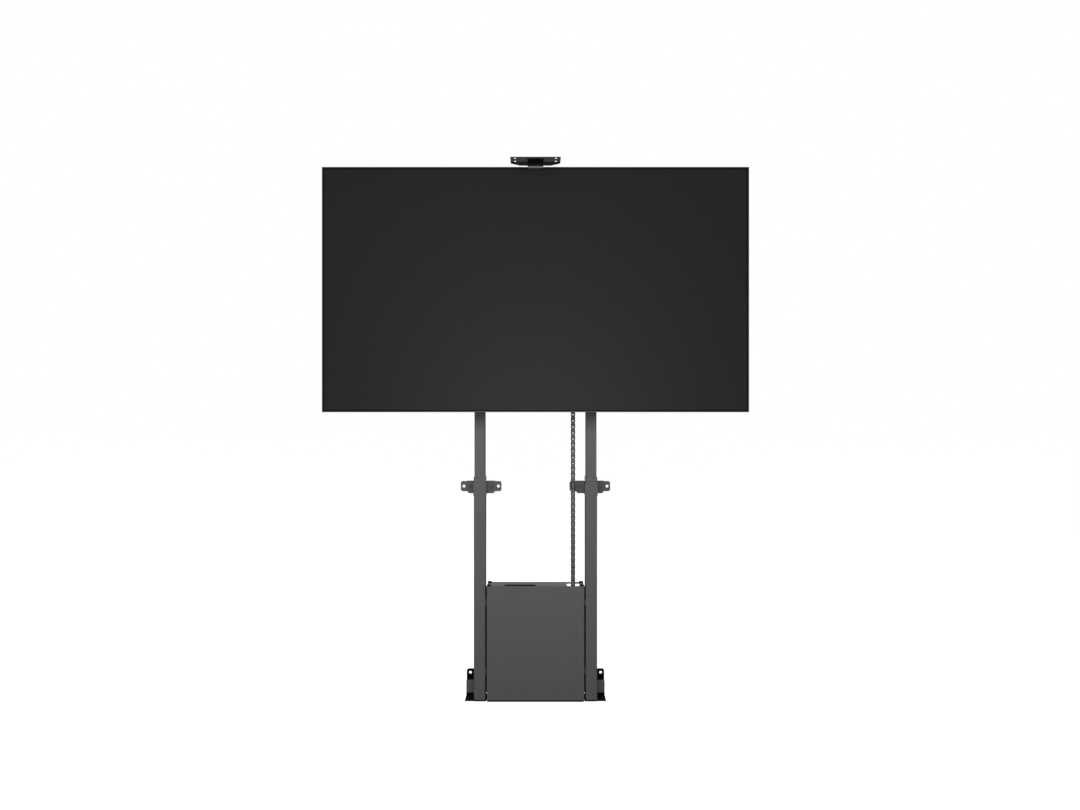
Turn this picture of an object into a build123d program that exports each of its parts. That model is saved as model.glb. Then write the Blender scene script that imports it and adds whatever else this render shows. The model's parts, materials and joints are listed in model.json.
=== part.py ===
# Motorised TV lift: two telescopic columns bolted to floor and wall carry a screen frame
# X is to the viewer's right, Y is towards the wall, Z is up, in millimetres
# The origin is on the floor, halfway between the two floor bolts, and the lift stands raised
import math
import os

from build123d import *

os.makedirs("parts", exist_ok=True)

# Columns
column_spacing = 454.0
outer_width = 46.5
outer_depth = 80.0
outer_wall = 1.6
outer_corner = 5.0
outer_tube_length = 886.0
inner_wall = 1.5
glide_gap = 0.8
column_front_reach = 34.0
wall_stand_off = 26.0
lift_travel = 650.0

# Clearances
running_gap = 0.3
shaft_fit = 0.05
bolt_clearance = 0.2
cut_overrun = 1.0

# Feet and base plates
foot_sheet = 3.0
foot_outer_reach = 287.0
foot_toe_reach = 23.0
foot_web_height = 58.0
foot_ear_height = 104.0
foot_bend = 2.5
foot_ear_corner = 10.0
floor_bolt_spacing = 534.0
foot_wall_bolt_spacing = 544.0
foot_wall_bolt_height = 88.0
fixing_hole = 12.0
base_plate_thickness = 6.0
base_plate_reach = 5.5
base_bolt_spread = 58.0
base_bolt_size = 6.0

# Wall brackets at half height
bracket_height = 866.0
wall_plate_length = 170.0
wall_plate_height = 42.5
wall_plate_sheet = 3.0
wall_plate_corner = 9.0
wall_bolt_spread = 144.0
strap_sheet = 2.0
strap_height = 53.0
strap_drop = 3.0
strap_length = 117.0
strap_screw_spread = 90.0
strap_screw_size = 6.0
strap_chamfer = 8.0

# Collars and glides
collar_height = 17.0
collar_lip = 0.8
collar_sleeve = 30.0
glide_height = 40.0
glide_foot = 3.0
lowered_gap = 6.0

# Drive inside each column
mount_height = 6.0
motor_diameter = 36.0
motor_length = 175.0
motor_groove_depth = 1.5
gearbox_length = 76.0
bearing_height = 15.0
spindle_diameter = 16.0
spindle_spare = 12.0
nut_barrel = 26.0
nut_flange = 34.0
nut_flange_height = 6.0
nut_carrier_height = 40.0

# Carriage on top of the inner tubes
head_clearance = 8.0
head_height = 70.0
clamp_cheek = 5.0
clamp_ear = 4.0
beam_depth = 30.0
beam_height = 60.0
beam_wall = 2.0
cap_height = 3.0
cap_plug = 10.0
head_bolt_size = 8.0
head_bolt_spread = 30.0

# Uprights and rails that take the screen
upright_clearance = 2.0
upright_width = 50.0
upright_depth = 18.0
upright_wall = 2.0
upright_overhang = 30.0
rail_length = 700.0
rail_height = 50.0
rail_depth = 14.0
rail_sheet = 2.5
rail_lip = 14.0
rail_bolt_size = 6.0
rail_bolt_spread = 24.0
rail_slot_length = 40.0
rail_slot_width = 8.0
rail_slot_pitch = 60.0
rail_slot_count = 5
vesa_height = 400.0
vesa_width = 600.0
rail_inset = 20.0

# Screen
screen_width = 1677.0
screen_height = 962.8
screen_depth = 55.0
screen_centre_height = 1658.1
bezel_width = 8.6
bezel_depth = 18.0
bezel_edge = 1.2
bezel_lip = 12.0
bezel_lip_thickness = 3.0
glass_recess = 1.5
glass_thickness = 4.0
cover_rim_depth = 14.0
back_inset = 3.0
back_wall = 1.5
bulge_width = 1180.0
bulge_height = 640.0
bulge_slope = 10.0
bulge_corner = 30.0
terminal_width = 300.0
terminal_height = 56.0
terminal_proud = 1.5
terminal_count = 8
hook_strip_width = 40.0
hook_strip_sheet = 2.5
hook_strip_depth = 18.7
hook_strip_length = 480.0
hook_drop = 12.0
hook_thickness = 3.0
screen_bolt_size = 8.0

# Camera shelf over the screen
shelf_width = 195.0
shelf_depth = 113.0
shelf_straight = 83.0
shelf_rear_width = 122.0
shelf_sheet = 2.5
shelf_gap = 16.5
shelf_overhang = 70.0
shelf_corner = 6.0
shelf_slot_spread = 159.0
shelf_slot_length = 20.0
shelf_slot_width = 8.0
shelf_slot_first = 16.0
shelf_slot_second = 56.0
camera_screw_hole = 6.6
post_width = 62.0
post_sheet = 2.5
post_lip_drop = 5.5
post_arm_gap = 1.5
post_back_gap = 6.5
post_gap = 1.0
post_spare = 4.0
post_tongue = 53.0
post_travel = 120.0
guide_height = 60.0
guide_sheet = 2.5
guide_ear = 16.0
guide_top_gap = 180.0
knob_diameter = 30.0
knob_depth = 14.0
knob_stud = 6.0
knob_lobes = 5
knob_lobe_diameter = 8.0
knob_stand = 1.0

# Front cover between the columns
cover_bottom_gap = 7.0
cover_height = 463.0
cover_side_gap = 6.75
cover_flange_depth = 85.0
cover_sheet = 1.5
cover_rear_lip = 5.0
cover_return_depth = 60.0
cover_bend = 1.0
cable_slot_length = 127.0
cable_slot_depth = 30.0
cable_slot_front = 4.0
chain_slot_length = 53.0
chain_slot_depth = 52.0
chain_slot_front = 3.0
chain_slot_corner = 12.0
pad_width = 16.0
pad_front_depth = 16.0
pad_rear_depth = 22.0
pad_height = 4.0
pad_corner = 3.0
grommet_sheet = 2.0
grommet_border = 4.0
hanger_thickness = 3.0
hanger_height = 20.0
hanger_reach = 6.0
hanger_low = 110.0
hanger_high = 390.0
hanger_setback = 24.0
cover_lift = 25.0

# Back plate and control box behind the cover
tie_sheet = 3.0
tie_bottom = 12.0
tie_top = 440.0
tie_ear_top = 453.0
tie_ear_width = 55.0
tie_tab_top = 462.0
tie_side_inset = 5.0
tie_window_width = 70.0
tie_window_height = 130.0
tie_window_spread = 300.0
tie_window_pitch = 165.0
tie_bolt_size = 6.0
tie_bolt_spread = 300.0
tie_bolt_drop = 190.0
box_width = 200.0
box_height = 160.0
box_depth = 40.0
box_wall = 2.0
box_bottom = 150.0
box_corner = 4.0
lid_thickness = 2.5
inlet_width = 50.0
inlet_depth = 26.0
inlet_height = 24.0
inlet_offset = 55.0
inlet_flange = 3.0
inlet_pocket_width = 24.0
inlet_pocket_depth = 16.0
inlet_pin = 4.0
inlet_pin_spread = 7.0

# Cable chain
chain_x = 153.5
chain_width = 17.0
chain_thickness = 22.0
chain_pitch = 25.0
chain_link_gap = 0.6
chain_side = 3.0
chain_bar = 2.0
chain_bar_height = 21.0
chain_front_setback = 22.0
chain_bend_radius = 17.0
chain_bend_height = 415.0
chain_lower_links = 13
chain_fixed_links = 1
chain_arm_sheet = 3.0
chain_arm_drop = 120.0
chain_arm_margin = 2.0

# Screws
head_ratio_share = 1.6
head_height_share = 0.6
socket_share = 0.55
socket_depth_share = 0.5

# Places that follow from the sizes
column_x = column_spacing / 2
column_front_y = -column_front_reach
column_back_y = column_front_y + outer_depth
column_y = column_front_y + outer_depth / 2
wall_y = column_back_y + wall_stand_off
base_top = foot_sheet + base_plate_thickness
outer_top = base_top + outer_tube_length
collar_top = outer_top + collar_height
inner_width = outer_width - 2 * (outer_wall + glide_gap)
inner_depth = outer_depth - 2 * (outer_wall + glide_gap)
inner_corner = outer_corner - outer_wall - glide_gap
cavity_width = inner_width - 2 * inner_wall
cavity_depth = inner_depth - 2 * inner_wall
cavity_corner = inner_corner - inner_wall
inner_front_y = column_y - inner_depth / 2
inner_bottom = base_top + lowered_gap + glide_foot + lift_travel
head_bottom = collar_top + lift_travel + head_clearance
inner_top = head_bottom + head_height
strap_front_y = column_front_y - strap_sheet
upright_back_y = strap_front_y - upright_clearance
upright_front_y = upright_back_y - upright_depth
rail_front_y = upright_front_y - rail_depth
strip_back_y = rail_front_y - running_gap
upper_rail_height = screen_centre_height + vesa_height / 2 - rail_inset
lower_rail_height = screen_centre_height - vesa_height / 2 + rail_inset
chain_front_y = column_front_y + chain_front_setback
chain_centre_y = chain_front_y + chain_thickness / 2
chain_fixed_y = chain_centre_y + 2 * chain_bend_radius
chain_join = chain_bend_height + chain_lower_links * chain_pitch
head_middle = head_bottom + head_height / 2
beam_bottom = head_middle - beam_height / 2
chain_upper_links = int((beam_bottom - chain_arm_drop - chain_join) / chain_pitch)
chain_end = chain_join + chain_upper_links * chain_pitch
chain_fixed_top = chain_bend_height + chain_fixed_links * chain_pitch
screen_back_y = strip_back_y - hook_strip_depth
screen_front_y = screen_back_y - screen_depth
screen_top = screen_centre_height + screen_height / 2
sides = {"left": -1, "right": 1}
column_places = [side * column_x for side in sides.values()]


# Writes one finished piece under its name
def save(piece, name):
    piece.part.label = name
    export_step(piece.part, f"parts/{name}.step")


# A point in space as the start of a level plane
def level(x, y, z):
    return Plane(origin=(x, y, z), x_dir=(1, 0, 0), z_dir=(0, 0, 1))


# A plane that faces the viewer, with X to the right and Z up in its sketch
def facing(x, y, z):
    return Plane(origin=(x, y, z), x_dir=(1, 0, 0), z_dir=(0, -1, 0))


# A plane that faces the viewer's right, with Y and Z as its sketch directions
def sideways(x):
    return Plane(origin=(x, 0, 0), x_dir=(0, 1, 0), z_dir=(1, 0, 0))


# One upright rectangular tube with rounded corners
def make_tube(x, y, z, width, depth, length, wall, corner):
    with BuildPart() as tube:
        with BuildSketch(level(x, y, z)):
            RectangleRounded(width, depth, corner)
            RectangleRounded(width - 2 * wall, depth - 2 * wall, corner - wall, mode=Mode.SUBTRACT)
        extrude(amount=length)
    return tube


# Adds a socket screw along Y to the part being built, its head on the viewer's side or the wall's
def add_screw(x, face_y, z, size, shank_length, head_side=-1):
    head = size * head_height_share
    seat = Plane(origin=(x, face_y, z), x_dir=(1, 0, 0), z_dir=(0, head_side, 0))
    with BuildSketch(seat) as head_outline:
        Circle(size * head_ratio_share / 2)
    extrude(head_outline.sketch, amount=head)
    with BuildSketch(seat) as shank_outline:
        Circle(size / 2)
    extrude(shank_outline.sketch, amount=-shank_length)
    with BuildSketch(seat.offset(head)) as socket_outline:
        RegularPolygon(size * socket_share, 6)
    extrude(socket_outline.sketch, amount=-head * socket_depth_share, mode=Mode.SUBTRACT)


# Cuts round holes along Y through the part being built, between two planes
def cut_front_holes(places, diameter, front_y, back_y):
    with BuildSketch(facing(0, front_y - cut_overrun, 0)) as holes:
        with Locations(*places):
            Circle(diameter / 2)
    extrude(holes.sketch, amount=-(back_y - front_y + 2 * cut_overrun), mode=Mode.SUBTRACT)


# Outer tubes, drilled at the back for the tie plate rivets
tie_bolt_middle = tie_top - tie_bolt_drop
tie_bolt_heights = [tie_bolt_middle - tie_bolt_spread / 2, tie_bolt_middle + tie_bolt_spread / 2]
for side_name, side in sides.items():
    with BuildPart() as outer_tube:
        with BuildSketch(level(side * column_x, column_y, base_top)):
            RectangleRounded(outer_width, outer_depth, outer_corner)
            RectangleRounded(
                outer_width - 2 * outer_wall,
                outer_depth - 2 * outer_wall,
                outer_corner - outer_wall,
                mode=Mode.SUBTRACT,
            )
        extrude(amount=outer_tube_length)
        cut_front_holes(
            [(side * column_x, height) for height in tie_bolt_heights],
            tie_bolt_size + 2 * bolt_clearance,
            column_back_y - outer_wall,
            column_back_y,
        )
    save(outer_tube, f"{side_name}_outer_tube")

# Base plates welded under the outer tubes, which reach inwards under the slit beside the cover
base_plate_x = column_x - base_plate_reach / 2
base_bolt_places = [
    (x, column_y + end * base_bolt_spread / 2) for x in column_places for end in (-1, 1)
]
base_bolt_hole = base_bolt_size + 2 * bolt_clearance
with BuildPart() as column_base_plates:
    with BuildSketch(Plane.XY.offset(foot_sheet)):
        with Locations(*[(side * base_plate_x, column_y) for side in sides.values()]):
            RectangleRounded(outer_width + base_plate_reach, outer_depth, outer_corner)
        with Locations(*base_bolt_places):
            Circle(base_bolt_hole / 2, mode=Mode.SUBTRACT)
    extrude(amount=base_plate_thickness)
save(column_base_plates, "column_base_plates")

# Bolts that hold each base plate down on its foot
base_bolt_head = base_bolt_size * head_height_share
with BuildPart() as foot_bolts:
    with BuildSketch(Plane.XY.offset(foot_sheet * head_height_share)):
        with Locations(*base_bolt_places):
            Circle(base_bolt_size / 2)
    extrude(amount=base_top - foot_sheet * head_height_share)
    with BuildSketch(Plane.XY.offset(base_top)):
        with Locations(*base_bolt_places):
            Circle(base_bolt_size * head_ratio_share / 2)
    extrude(amount=base_bolt_head)
    with BuildSketch(Plane.XY.offset(base_top + base_bolt_head)):
        with Locations(*base_bolt_places):
            RegularPolygon(base_bolt_size * socket_share, 6)
    extrude(amount=-base_bolt_head * socket_depth_share, mode=Mode.SUBTRACT)
save(foot_bolts, "foot_bolts")

# Feet: a floor flange, an upright web, a ledge over the skirting and an ear on the wall
foot_web_front = column_back_y
foot_web_back = foot_web_front + foot_sheet
for side_name, side in sides.items():
    column_side = column_x + outer_width / 2
    foot_width = foot_outer_reach - column_side
    with BuildPart() as foot_bracket:
        with BuildSketch(sideways(side * (column_side + foot_width / 2))):
            with BuildLine():
                Polyline(
                    (-foot_toe_reach, 0),
                    (foot_web_back, 0),
                    (foot_web_back, foot_web_height - foot_sheet),
                    (wall_y, foot_web_height - foot_sheet),
                    (wall_y, foot_ear_height),
                    (wall_y - foot_sheet, foot_ear_height),
                    (wall_y - foot_sheet, foot_web_height),
                    (foot_web_front, foot_web_height),
                    (foot_web_front, foot_sheet),
                    (-foot_toe_reach, foot_sheet),
                    close=True,
                )
            make_face()
        extrude(amount=foot_width / 2, both=True)
        bends = foot_bracket.edges().filter_by(Axis.X)
        inner_bends = [
            edge
            for edge in bends
            if foot_web_front - foot_bend < edge.center().Y < wall_y - foot_bend
            and foot_sheet / 2 < edge.center().Z < foot_web_height + foot_sheet
        ]
        fillet(inner_bends, foot_bend)
        ear_corners = foot_bracket.edges().filter_by(Axis.Y).group_by(Axis.Z)[-1]
        fillet(ear_corners, foot_ear_corner)
        with BuildSketch(level(side * column_x, 0, 0)):
            with Locations((0, (foot_web_front - foot_toe_reach) / 2)):
                Rectangle(outer_width, foot_web_front + foot_toe_reach)
        extrude(amount=foot_sheet)
        with BuildSketch(Plane.XY.offset(-cut_overrun)):
            with Locations((side * floor_bolt_spacing / 2, 0)):
                Circle(fixing_hole / 2)
            with Locations(*[(x, y) for x, y in base_bolt_places if x * side > 0]):
                Circle(base_bolt_hole / 2)
        extrude(amount=foot_sheet + 2 * cut_overrun, mode=Mode.SUBTRACT)
        cut_front_holes(
            [(side * foot_wall_bolt_spacing / 2, foot_wall_bolt_height)],
            fixing_hole,
            wall_y - foot_sheet,
            wall_y,
        )
    save(foot_bracket, f"{side_name}_foot_bracket")

# Plastic collars on the outer tubes, each with a thin sleeve that guides the inner tube
with BuildPart() as glide_collars:
    with BuildSketch(Plane.XY.offset(outer_top)):
        with Locations(*[(x, column_y) for x in column_places]):
            RectangleRounded(
                outer_width + 2 * collar_lip, outer_depth + 2 * collar_lip, outer_corner + collar_lip
            )
    extrude(amount=collar_height)
    fillet(glide_collars.faces().group_by(Axis.Z)[-1].edges(), collar_lip)
    with BuildSketch(Plane.XY.offset(outer_top)):
        with Locations(*[(x, column_y) for x in column_places]):
            RectangleRounded(
                outer_width - 2 * outer_wall, outer_depth - 2 * outer_wall, outer_corner - outer_wall
            )
    extrude(amount=-collar_sleeve)
    with BuildSketch(Plane.XY.offset(outer_top - collar_sleeve - cut_overrun)):
        with Locations(*[(x, column_y) for x in column_places]):
            RectangleRounded(
                inner_width + 2 * running_gap, inner_depth + 2 * running_gap, inner_corner + running_gap
            )
    extrude(amount=collar_sleeve + collar_height + 2 * cut_overrun, mode=Mode.SUBTRACT)
save(glide_collars, "glide_collars")

# Wall plates behind the columns at half height, with the straps a little lower
strap_screw_height = bracket_height - strap_drop
for side_name, side in sides.items():
    with BuildPart() as wall_plate:
        with BuildSketch(facing(side * column_x, wall_y, bracket_height)):
            RectangleRounded(wall_plate_length, wall_plate_height, wall_plate_corner)
            with GridLocations(wall_bolt_spread, 0, 2, 1):
                Circle(fixing_hole / 2, mode=Mode.SUBTRACT)
            with Locations((0, -strap_drop)):
                with GridLocations(strap_screw_spread, 0, 2, 1):
                    Circle(strap_screw_size / 2 + bolt_clearance, mode=Mode.SUBTRACT)
        extrude(amount=wall_plate_sheet)
    save(wall_plate, f"{side_name}_wall_plate")

# Straps folded round the columns and screwed to the wall plates
strap_back_y = wall_y - wall_plate_sheet
strap_web_width = outer_width + 2 * strap_sheet
for side_name, side in sides.items():
    with BuildPart() as wall_strap:
        with BuildSketch(level(side * column_x, 0, strap_screw_height - strap_height / 2)):
            with Locations((0, (strap_front_y + strap_back_y) / 2)):
                Rectangle(strap_web_width, strap_back_y - strap_front_y)
            with Locations((0, strap_back_y - strap_sheet / 2)):
                Rectangle(strap_length, strap_sheet)
            with Locations((0, (column_front_y + strap_back_y + cut_overrun) / 2)):
                Rectangle(
                    outer_width, strap_back_y - column_front_y + cut_overrun, mode=Mode.SUBTRACT
                )
        extrude(amount=strap_height)
        flange_corners = [
            edge
            for edge in wall_strap.edges().filter_by(Axis.Y)
            if abs(edge.center().X - side * column_x) > strap_length / 2 - strap_sheet
            and edge.center().Z < strap_screw_height
        ]
        chamfer(flange_corners, strap_chamfer)
        front_folds = [
            edge
            for edge in wall_strap.edges().filter_by(Axis.Z)
            if edge.center().Y < column_front_y - strap_sheet / 2
        ]
        fillet(front_folds, strap_sheet * socket_share)
        cut_front_holes(
            [
                (side * column_x + end * strap_screw_spread / 2, strap_screw_height)
                for end in (-1, 1)
            ],
            strap_screw_size + 2 * bolt_clearance,
            strap_back_y - strap_sheet,
            strap_back_y,
        )
    save(wall_strap, f"{side_name}_wall_strap")

# Screws that pull the straps onto the wall plates
with BuildPart() as wall_strap_screws:
    for x in column_places:
        for end in (-1, 1):
            add_screw(
                x + end * strap_screw_spread / 2,
                strap_back_y - strap_sheet,
                strap_screw_height,
                strap_screw_size,
                strap_sheet + wall_plate_sheet - bolt_clearance,
            )
save(wall_strap_screws, "wall_strap_screws")

# Motor pedestals standing on the base plates
with BuildPart() as motor_mounts:
    with BuildSketch(Plane.XY.offset(base_top)):
        with Locations(*[(x, column_y) for x in column_places]):
            Circle(motor_diameter / 2)
    extrude(amount=mount_height)
    chamfer(motor_mounts.faces().group_by(Axis.Z)[-1].edges(), motor_groove_depth / 2)
save(motor_mounts, "motor_mounts")

# Tube motors with their gearboxes, one in the foot of each column
motor_bottom = base_top + mount_height
motor_top = motor_bottom + motor_length
gearbox_bottom = motor_top - gearbox_length
for side_name, side in sides.items():
    with BuildPart() as gear_motor:
        with BuildSketch(level(side * column_x, column_y, motor_bottom)):
            Circle(motor_diameter / 2)
        extrude(amount=motor_length)
        for groove_height in (gearbox_bottom, (gearbox_bottom + motor_top) / 2):
            with BuildSketch(level(side * column_x, column_y, groove_height)):
                Circle(motor_diameter / 2 + cut_overrun)
                Circle(motor_diameter / 2 - motor_groove_depth, mode=Mode.SUBTRACT)
            extrude(amount=motor_groove_depth, mode=Mode.SUBTRACT)
        chamfer(gear_motor.faces().sort_by(Axis.Z)[-1].edges(), motor_groove_depth)
    save(gear_motor, f"{side_name}_gear_motor")

# Thrust bearings on the gearboxes
bearing_top = motor_top + bearing_height
with BuildPart() as spindle_bearings:
    with BuildSketch(Plane.XY.offset(motor_top)):
        with Locations(*[(x, column_y) for x in column_places]):
            Circle(motor_diameter / 2 - motor_groove_depth)
            Circle(spindle_diameter / 2 + shaft_fit, mode=Mode.SUBTRACT)
    extrude(amount=bearing_height)
save(spindle_bearings, "spindle_bearings")

# Inner tubes
for side_name, side in sides.items():
    inner_tube = make_tube(
        side * column_x,
        column_y,
        inner_bottom,
        inner_width,
        inner_depth,
        inner_top - inner_bottom,
        inner_wall,
        inner_corner,
    )
    save(inner_tube, f"{side_name}_inner_tube")

# Plastic glides on the feet of the inner tubes
glide_skin = glide_gap - running_gap
with BuildPart() as lower_glides:
    with BuildSketch(Plane.XY.offset(inner_bottom - glide_foot)):
        with Locations(*[(x, column_y) for x in column_places]):
            RectangleRounded(
                inner_width + 2 * glide_skin, inner_depth + 2 * glide_skin, inner_corner + glide_skin
            )
            RectangleRounded(cavity_width, cavity_depth, cavity_corner, mode=Mode.SUBTRACT)
    extrude(amount=glide_foot)
    with BuildSketch(Plane.XY.offset(inner_bottom)):
        with Locations(*[(x, column_y) for x in column_places]):
            RectangleRounded(
                inner_width + 2 * glide_skin, inner_depth + 2 * glide_skin, inner_corner + glide_skin
            )
            RectangleRounded(inner_width, inner_depth, inner_corner, mode=Mode.SUBTRACT)
    extrude(amount=glide_height)
save(lower_glides, "lower_glides")

# Nut carriers fixed inside the inner tubes, just above where the bearings end when lowered
nut_bottom = bearing_top + running_gap + lowered_gap + lift_travel
carrier_bottom = nut_bottom + nut_flange_height
with BuildPart() as nut_carriers:
    with BuildSketch(Plane.XY.offset(carrier_bottom)):
        with Locations(*[(x, column_y) for x in column_places]):
            RectangleRounded(cavity_width, cavity_depth, cavity_corner)
            Circle(nut_barrel / 2 + bolt_clearance / 2, mode=Mode.SUBTRACT)
    extrude(amount=nut_carrier_height)
save(nut_carriers, "nut_carriers")

# Flanged spindle nuts seated in the carriers
with BuildPart() as spindle_nuts:
    with BuildSketch(Plane.XY.offset(nut_bottom)):
        with Locations(*[(x, column_y) for x in column_places]):
            Circle(nut_flange / 2)
    extrude(amount=nut_flange_height)
    with BuildSketch(Plane.XY.offset(carrier_bottom)):
        with Locations(*[(x, column_y) for x in column_places]):
            Circle(nut_barrel / 2)
    extrude(amount=nut_carrier_height)
    with BuildSketch(Plane.XY.offset(nut_bottom - cut_overrun)):
        with Locations(*[(x, column_y) for x in column_places]):
            Circle(spindle_diameter / 2 + shaft_fit)
    extrude(amount=nut_flange_height + nut_carrier_height + 2 * cut_overrun, mode=Mode.SUBTRACT)
save(spindle_nuts, "spindle_nuts")

# Spindles, from the gearboxes to just above the raised nuts
spindle_bottom = motor_top + running_gap
spindle_top = carrier_bottom + nut_carrier_height + spindle_spare
for side_name, side in sides.items():
    with BuildPart() as spindle:
        with BuildSketch(level(side * column_x, column_y, spindle_bottom)):
            Circle(spindle_diameter / 2)
        extrude(amount=spindle_top - spindle_bottom)
        chamfer(spindle.faces().sort_by(Axis.Z)[-1].edges(), shaft_fit * spindle_diameter)
    save(spindle, f"{side_name}_spindle")

# Caps plugged into the tops of the inner tubes
with BuildPart() as column_caps:
    with BuildSketch(Plane.XY.offset(inner_top)):
        with Locations(*[(x, column_y) for x in column_places]):
            RectangleRounded(inner_width, inner_depth, inner_corner)
    extrude(amount=cap_height)
    fillet(column_caps.faces().group_by(Axis.Z)[-1].edges(), cap_height / 2)
    with BuildSketch(Plane.XY.offset(inner_top)):
        with Locations(*[(x, column_y) for x in column_places]):
            RectangleRounded(
                cavity_width - bolt_clearance, cavity_depth - bolt_clearance, cavity_corner
            )
    extrude(amount=-cap_plug)
save(column_caps, "column_caps")

# Clamps round the tops of the inner tubes, drilled for the upright bolts
head_bolt_heights = [head_middle - head_bolt_spread / 2, head_middle + head_bolt_spread / 2]
clamp_width = inner_width + 2 * clamp_cheek
clamp_back_y = column_y + beam_depth / 2
for side_name, side in sides.items():
    with BuildPart() as head_clamp:
        with BuildSketch(level(side * column_x, 0, head_bottom)):
            with Locations((0, (upright_back_y + clamp_back_y) / 2)):
                Rectangle(clamp_width, clamp_back_y - upright_back_y)
            with Locations((0, (upright_back_y + inner_front_y) / 2)):
                Rectangle(clamp_width + 2 * clamp_ear, inner_front_y - upright_back_y)
            with Locations((0, (inner_front_y + clamp_back_y + cut_overrun) / 2)):
                Rectangle(
                    inner_width, clamp_back_y + cut_overrun - inner_front_y, mode=Mode.SUBTRACT
                )
        extrude(amount=head_height)
        cut_front_holes(
            [(side * column_x, height) for height in head_bolt_heights],
            head_bolt_size + 2 * bolt_clearance,
            upright_back_y,
            inner_front_y,
        )
    save(head_clamp, f"{side_name}_head_clamp")

# Beam that ties the two clamps together
beam_half = column_x - clamp_width / 2
with BuildPart() as head_beam:
    with BuildSketch(Plane.YZ.offset(-beam_half)):
        with Locations((column_y, head_middle)):
            RectangleRounded(beam_depth, beam_height, outer_corner)
            RectangleRounded(
                beam_depth - 2 * beam_wall,
                beam_height - 2 * beam_wall,
                outer_corner - beam_wall,
                mode=Mode.SUBTRACT,
            )
    extrude(amount=2 * beam_half)
save(head_beam, "head_beam")

# Uprights bolted to the clamps, which carry the two rails
upright_bottom = min(lower_rail_height, head_bottom) - upright_overhang
upright_top = max(upper_rail_height, inner_top) + upright_overhang
rail_bolt_drop = (rail_height / 2 - rail_lip) / 2
rail_heights = {"upper": upper_rail_height, "lower": lower_rail_height}
rail_bolt_places = [
    (x + end * rail_bolt_spread / 2, height - rail_bolt_drop)
    for x in column_places
    for end in (-1, 1)
    for height in rail_heights.values()
]
for side_name, side in sides.items():
    with BuildPart() as upright:
        with BuildSketch(level(side * column_x, upright_back_y - upright_depth / 2, upright_bottom)):
            RectangleRounded(upright_width, upright_depth, upright_wall + bolt_clearance)
            Rectangle(
                upright_width - 2 * upright_wall, upright_depth - 2 * upright_wall, mode=Mode.SUBTRACT
            )
        extrude(amount=upright_top - upright_bottom)
        cut_front_holes(
            [(side * column_x, height) for height in head_bolt_heights],
            head_bolt_size + 2 * bolt_clearance,
            upright_front_y,
            upright_back_y,
        )
        cut_front_holes(
            [place for place in rail_bolt_places if place[0] * side > 0],
            rail_bolt_size + 2 * bolt_clearance,
            upright_front_y,
            upright_front_y + upright_wall,
        )
    save(upright, f"{side_name}_upright")

# Bolts through the uprights into the clamps
with BuildPart() as head_bolts:
    for x in column_places:
        for height in head_bolt_heights:
            add_screw(
                x, upright_front_y, height, head_bolt_size, inner_front_y - upright_front_y - bolt_clearance
            )
save(head_bolts, "head_bolts")

# Rails that the screen hooks onto: a front web with a free lip over a flange
for rail_name, rail_z in rail_heights.items():
    flange_top = rail_z + rail_height / 2 - rail_lip
    with BuildPart() as rail:
        with BuildSketch(Plane.YZ.offset(-rail_length / 2)):
            with BuildLine():
                Polyline(
                    (rail_front_y, rail_z - rail_height / 2),
                    (upright_front_y, rail_z - rail_height / 2),
                    (upright_front_y, rail_z - rail_height / 2 + rail_sheet),
                    (rail_front_y + rail_sheet, rail_z - rail_height / 2 + rail_sheet),
                    (rail_front_y + rail_sheet, flange_top - rail_sheet),
                    (upright_front_y, flange_top - rail_sheet),
                    (upright_front_y, flange_top),
                    (rail_front_y + rail_sheet, flange_top),
                    (rail_front_y + rail_sheet, rail_z + rail_height / 2),
                    (rail_front_y, rail_z + rail_height / 2),
                    close=True,
                )
            make_face()
        extrude(amount=rail_length)
        cut_front_holes(
            [place for place in rail_bolt_places if abs(place[1] - rail_z) < rail_height],
            rail_bolt_size + 2 * bolt_clearance,
            rail_front_y,
            rail_front_y + rail_sheet,
        )
        with BuildSketch(facing(0, rail_front_y - cut_overrun, rail_z - rail_bolt_drop)):
            with GridLocations(rail_slot_pitch, 0, rail_slot_count, 1):
                SlotOverall(rail_slot_length, rail_slot_width)
        extrude(amount=-(rail_sheet + 2 * cut_overrun), mode=Mode.SUBTRACT)
    save(rail, f"{rail_name}_rail")

# Bolts that hold the rails to the uprights
with BuildPart() as rail_bolts:
    for x, z in rail_bolt_places:
        add_screw(x, rail_front_y, z, rail_bolt_size, rail_depth + upright_wall)
save(rail_bolts, "rail_bolts")

# Screen bezel: a thin frame with a bevelled edge and a lip behind the glass
bezel_back_y = screen_front_y + bezel_depth
glass_back_y = screen_front_y + glass_recess + glass_thickness
glass_width = screen_width - 2 * bezel_width
glass_height = screen_height - 2 * bezel_width
with BuildPart() as display_bezel:
    with BuildSketch(facing(0, bezel_back_y, screen_centre_height)):
        Rectangle(screen_width, screen_height)
    extrude(amount=bezel_depth)
    outer_edges = display_bezel.faces().sort_by(Axis.Y)[0].edges()
    chamfer(outer_edges, bezel_edge)
    with BuildSketch(facing(0, glass_back_y, screen_centre_height)):
        Rectangle(glass_width, glass_height)
    extrude(amount=glass_back_y - screen_front_y + cut_overrun, mode=Mode.SUBTRACT)
    with BuildSketch(facing(0, bezel_back_y + cut_overrun, screen_centre_height)):
        Rectangle(glass_width - 2 * bezel_lip, glass_height - 2 * bezel_lip)
    extrude(amount=bezel_depth + cut_overrun, mode=Mode.SUBTRACT)
    with BuildSketch(facing(0, bezel_back_y + cut_overrun, screen_centre_height)):
        Rectangle(glass_width, glass_height)
    extrude(
        amount=bezel_back_y + cut_overrun - glass_back_y - bezel_lip_thickness, mode=Mode.SUBTRACT
    )
save(display_bezel, "display_bezel")

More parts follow.
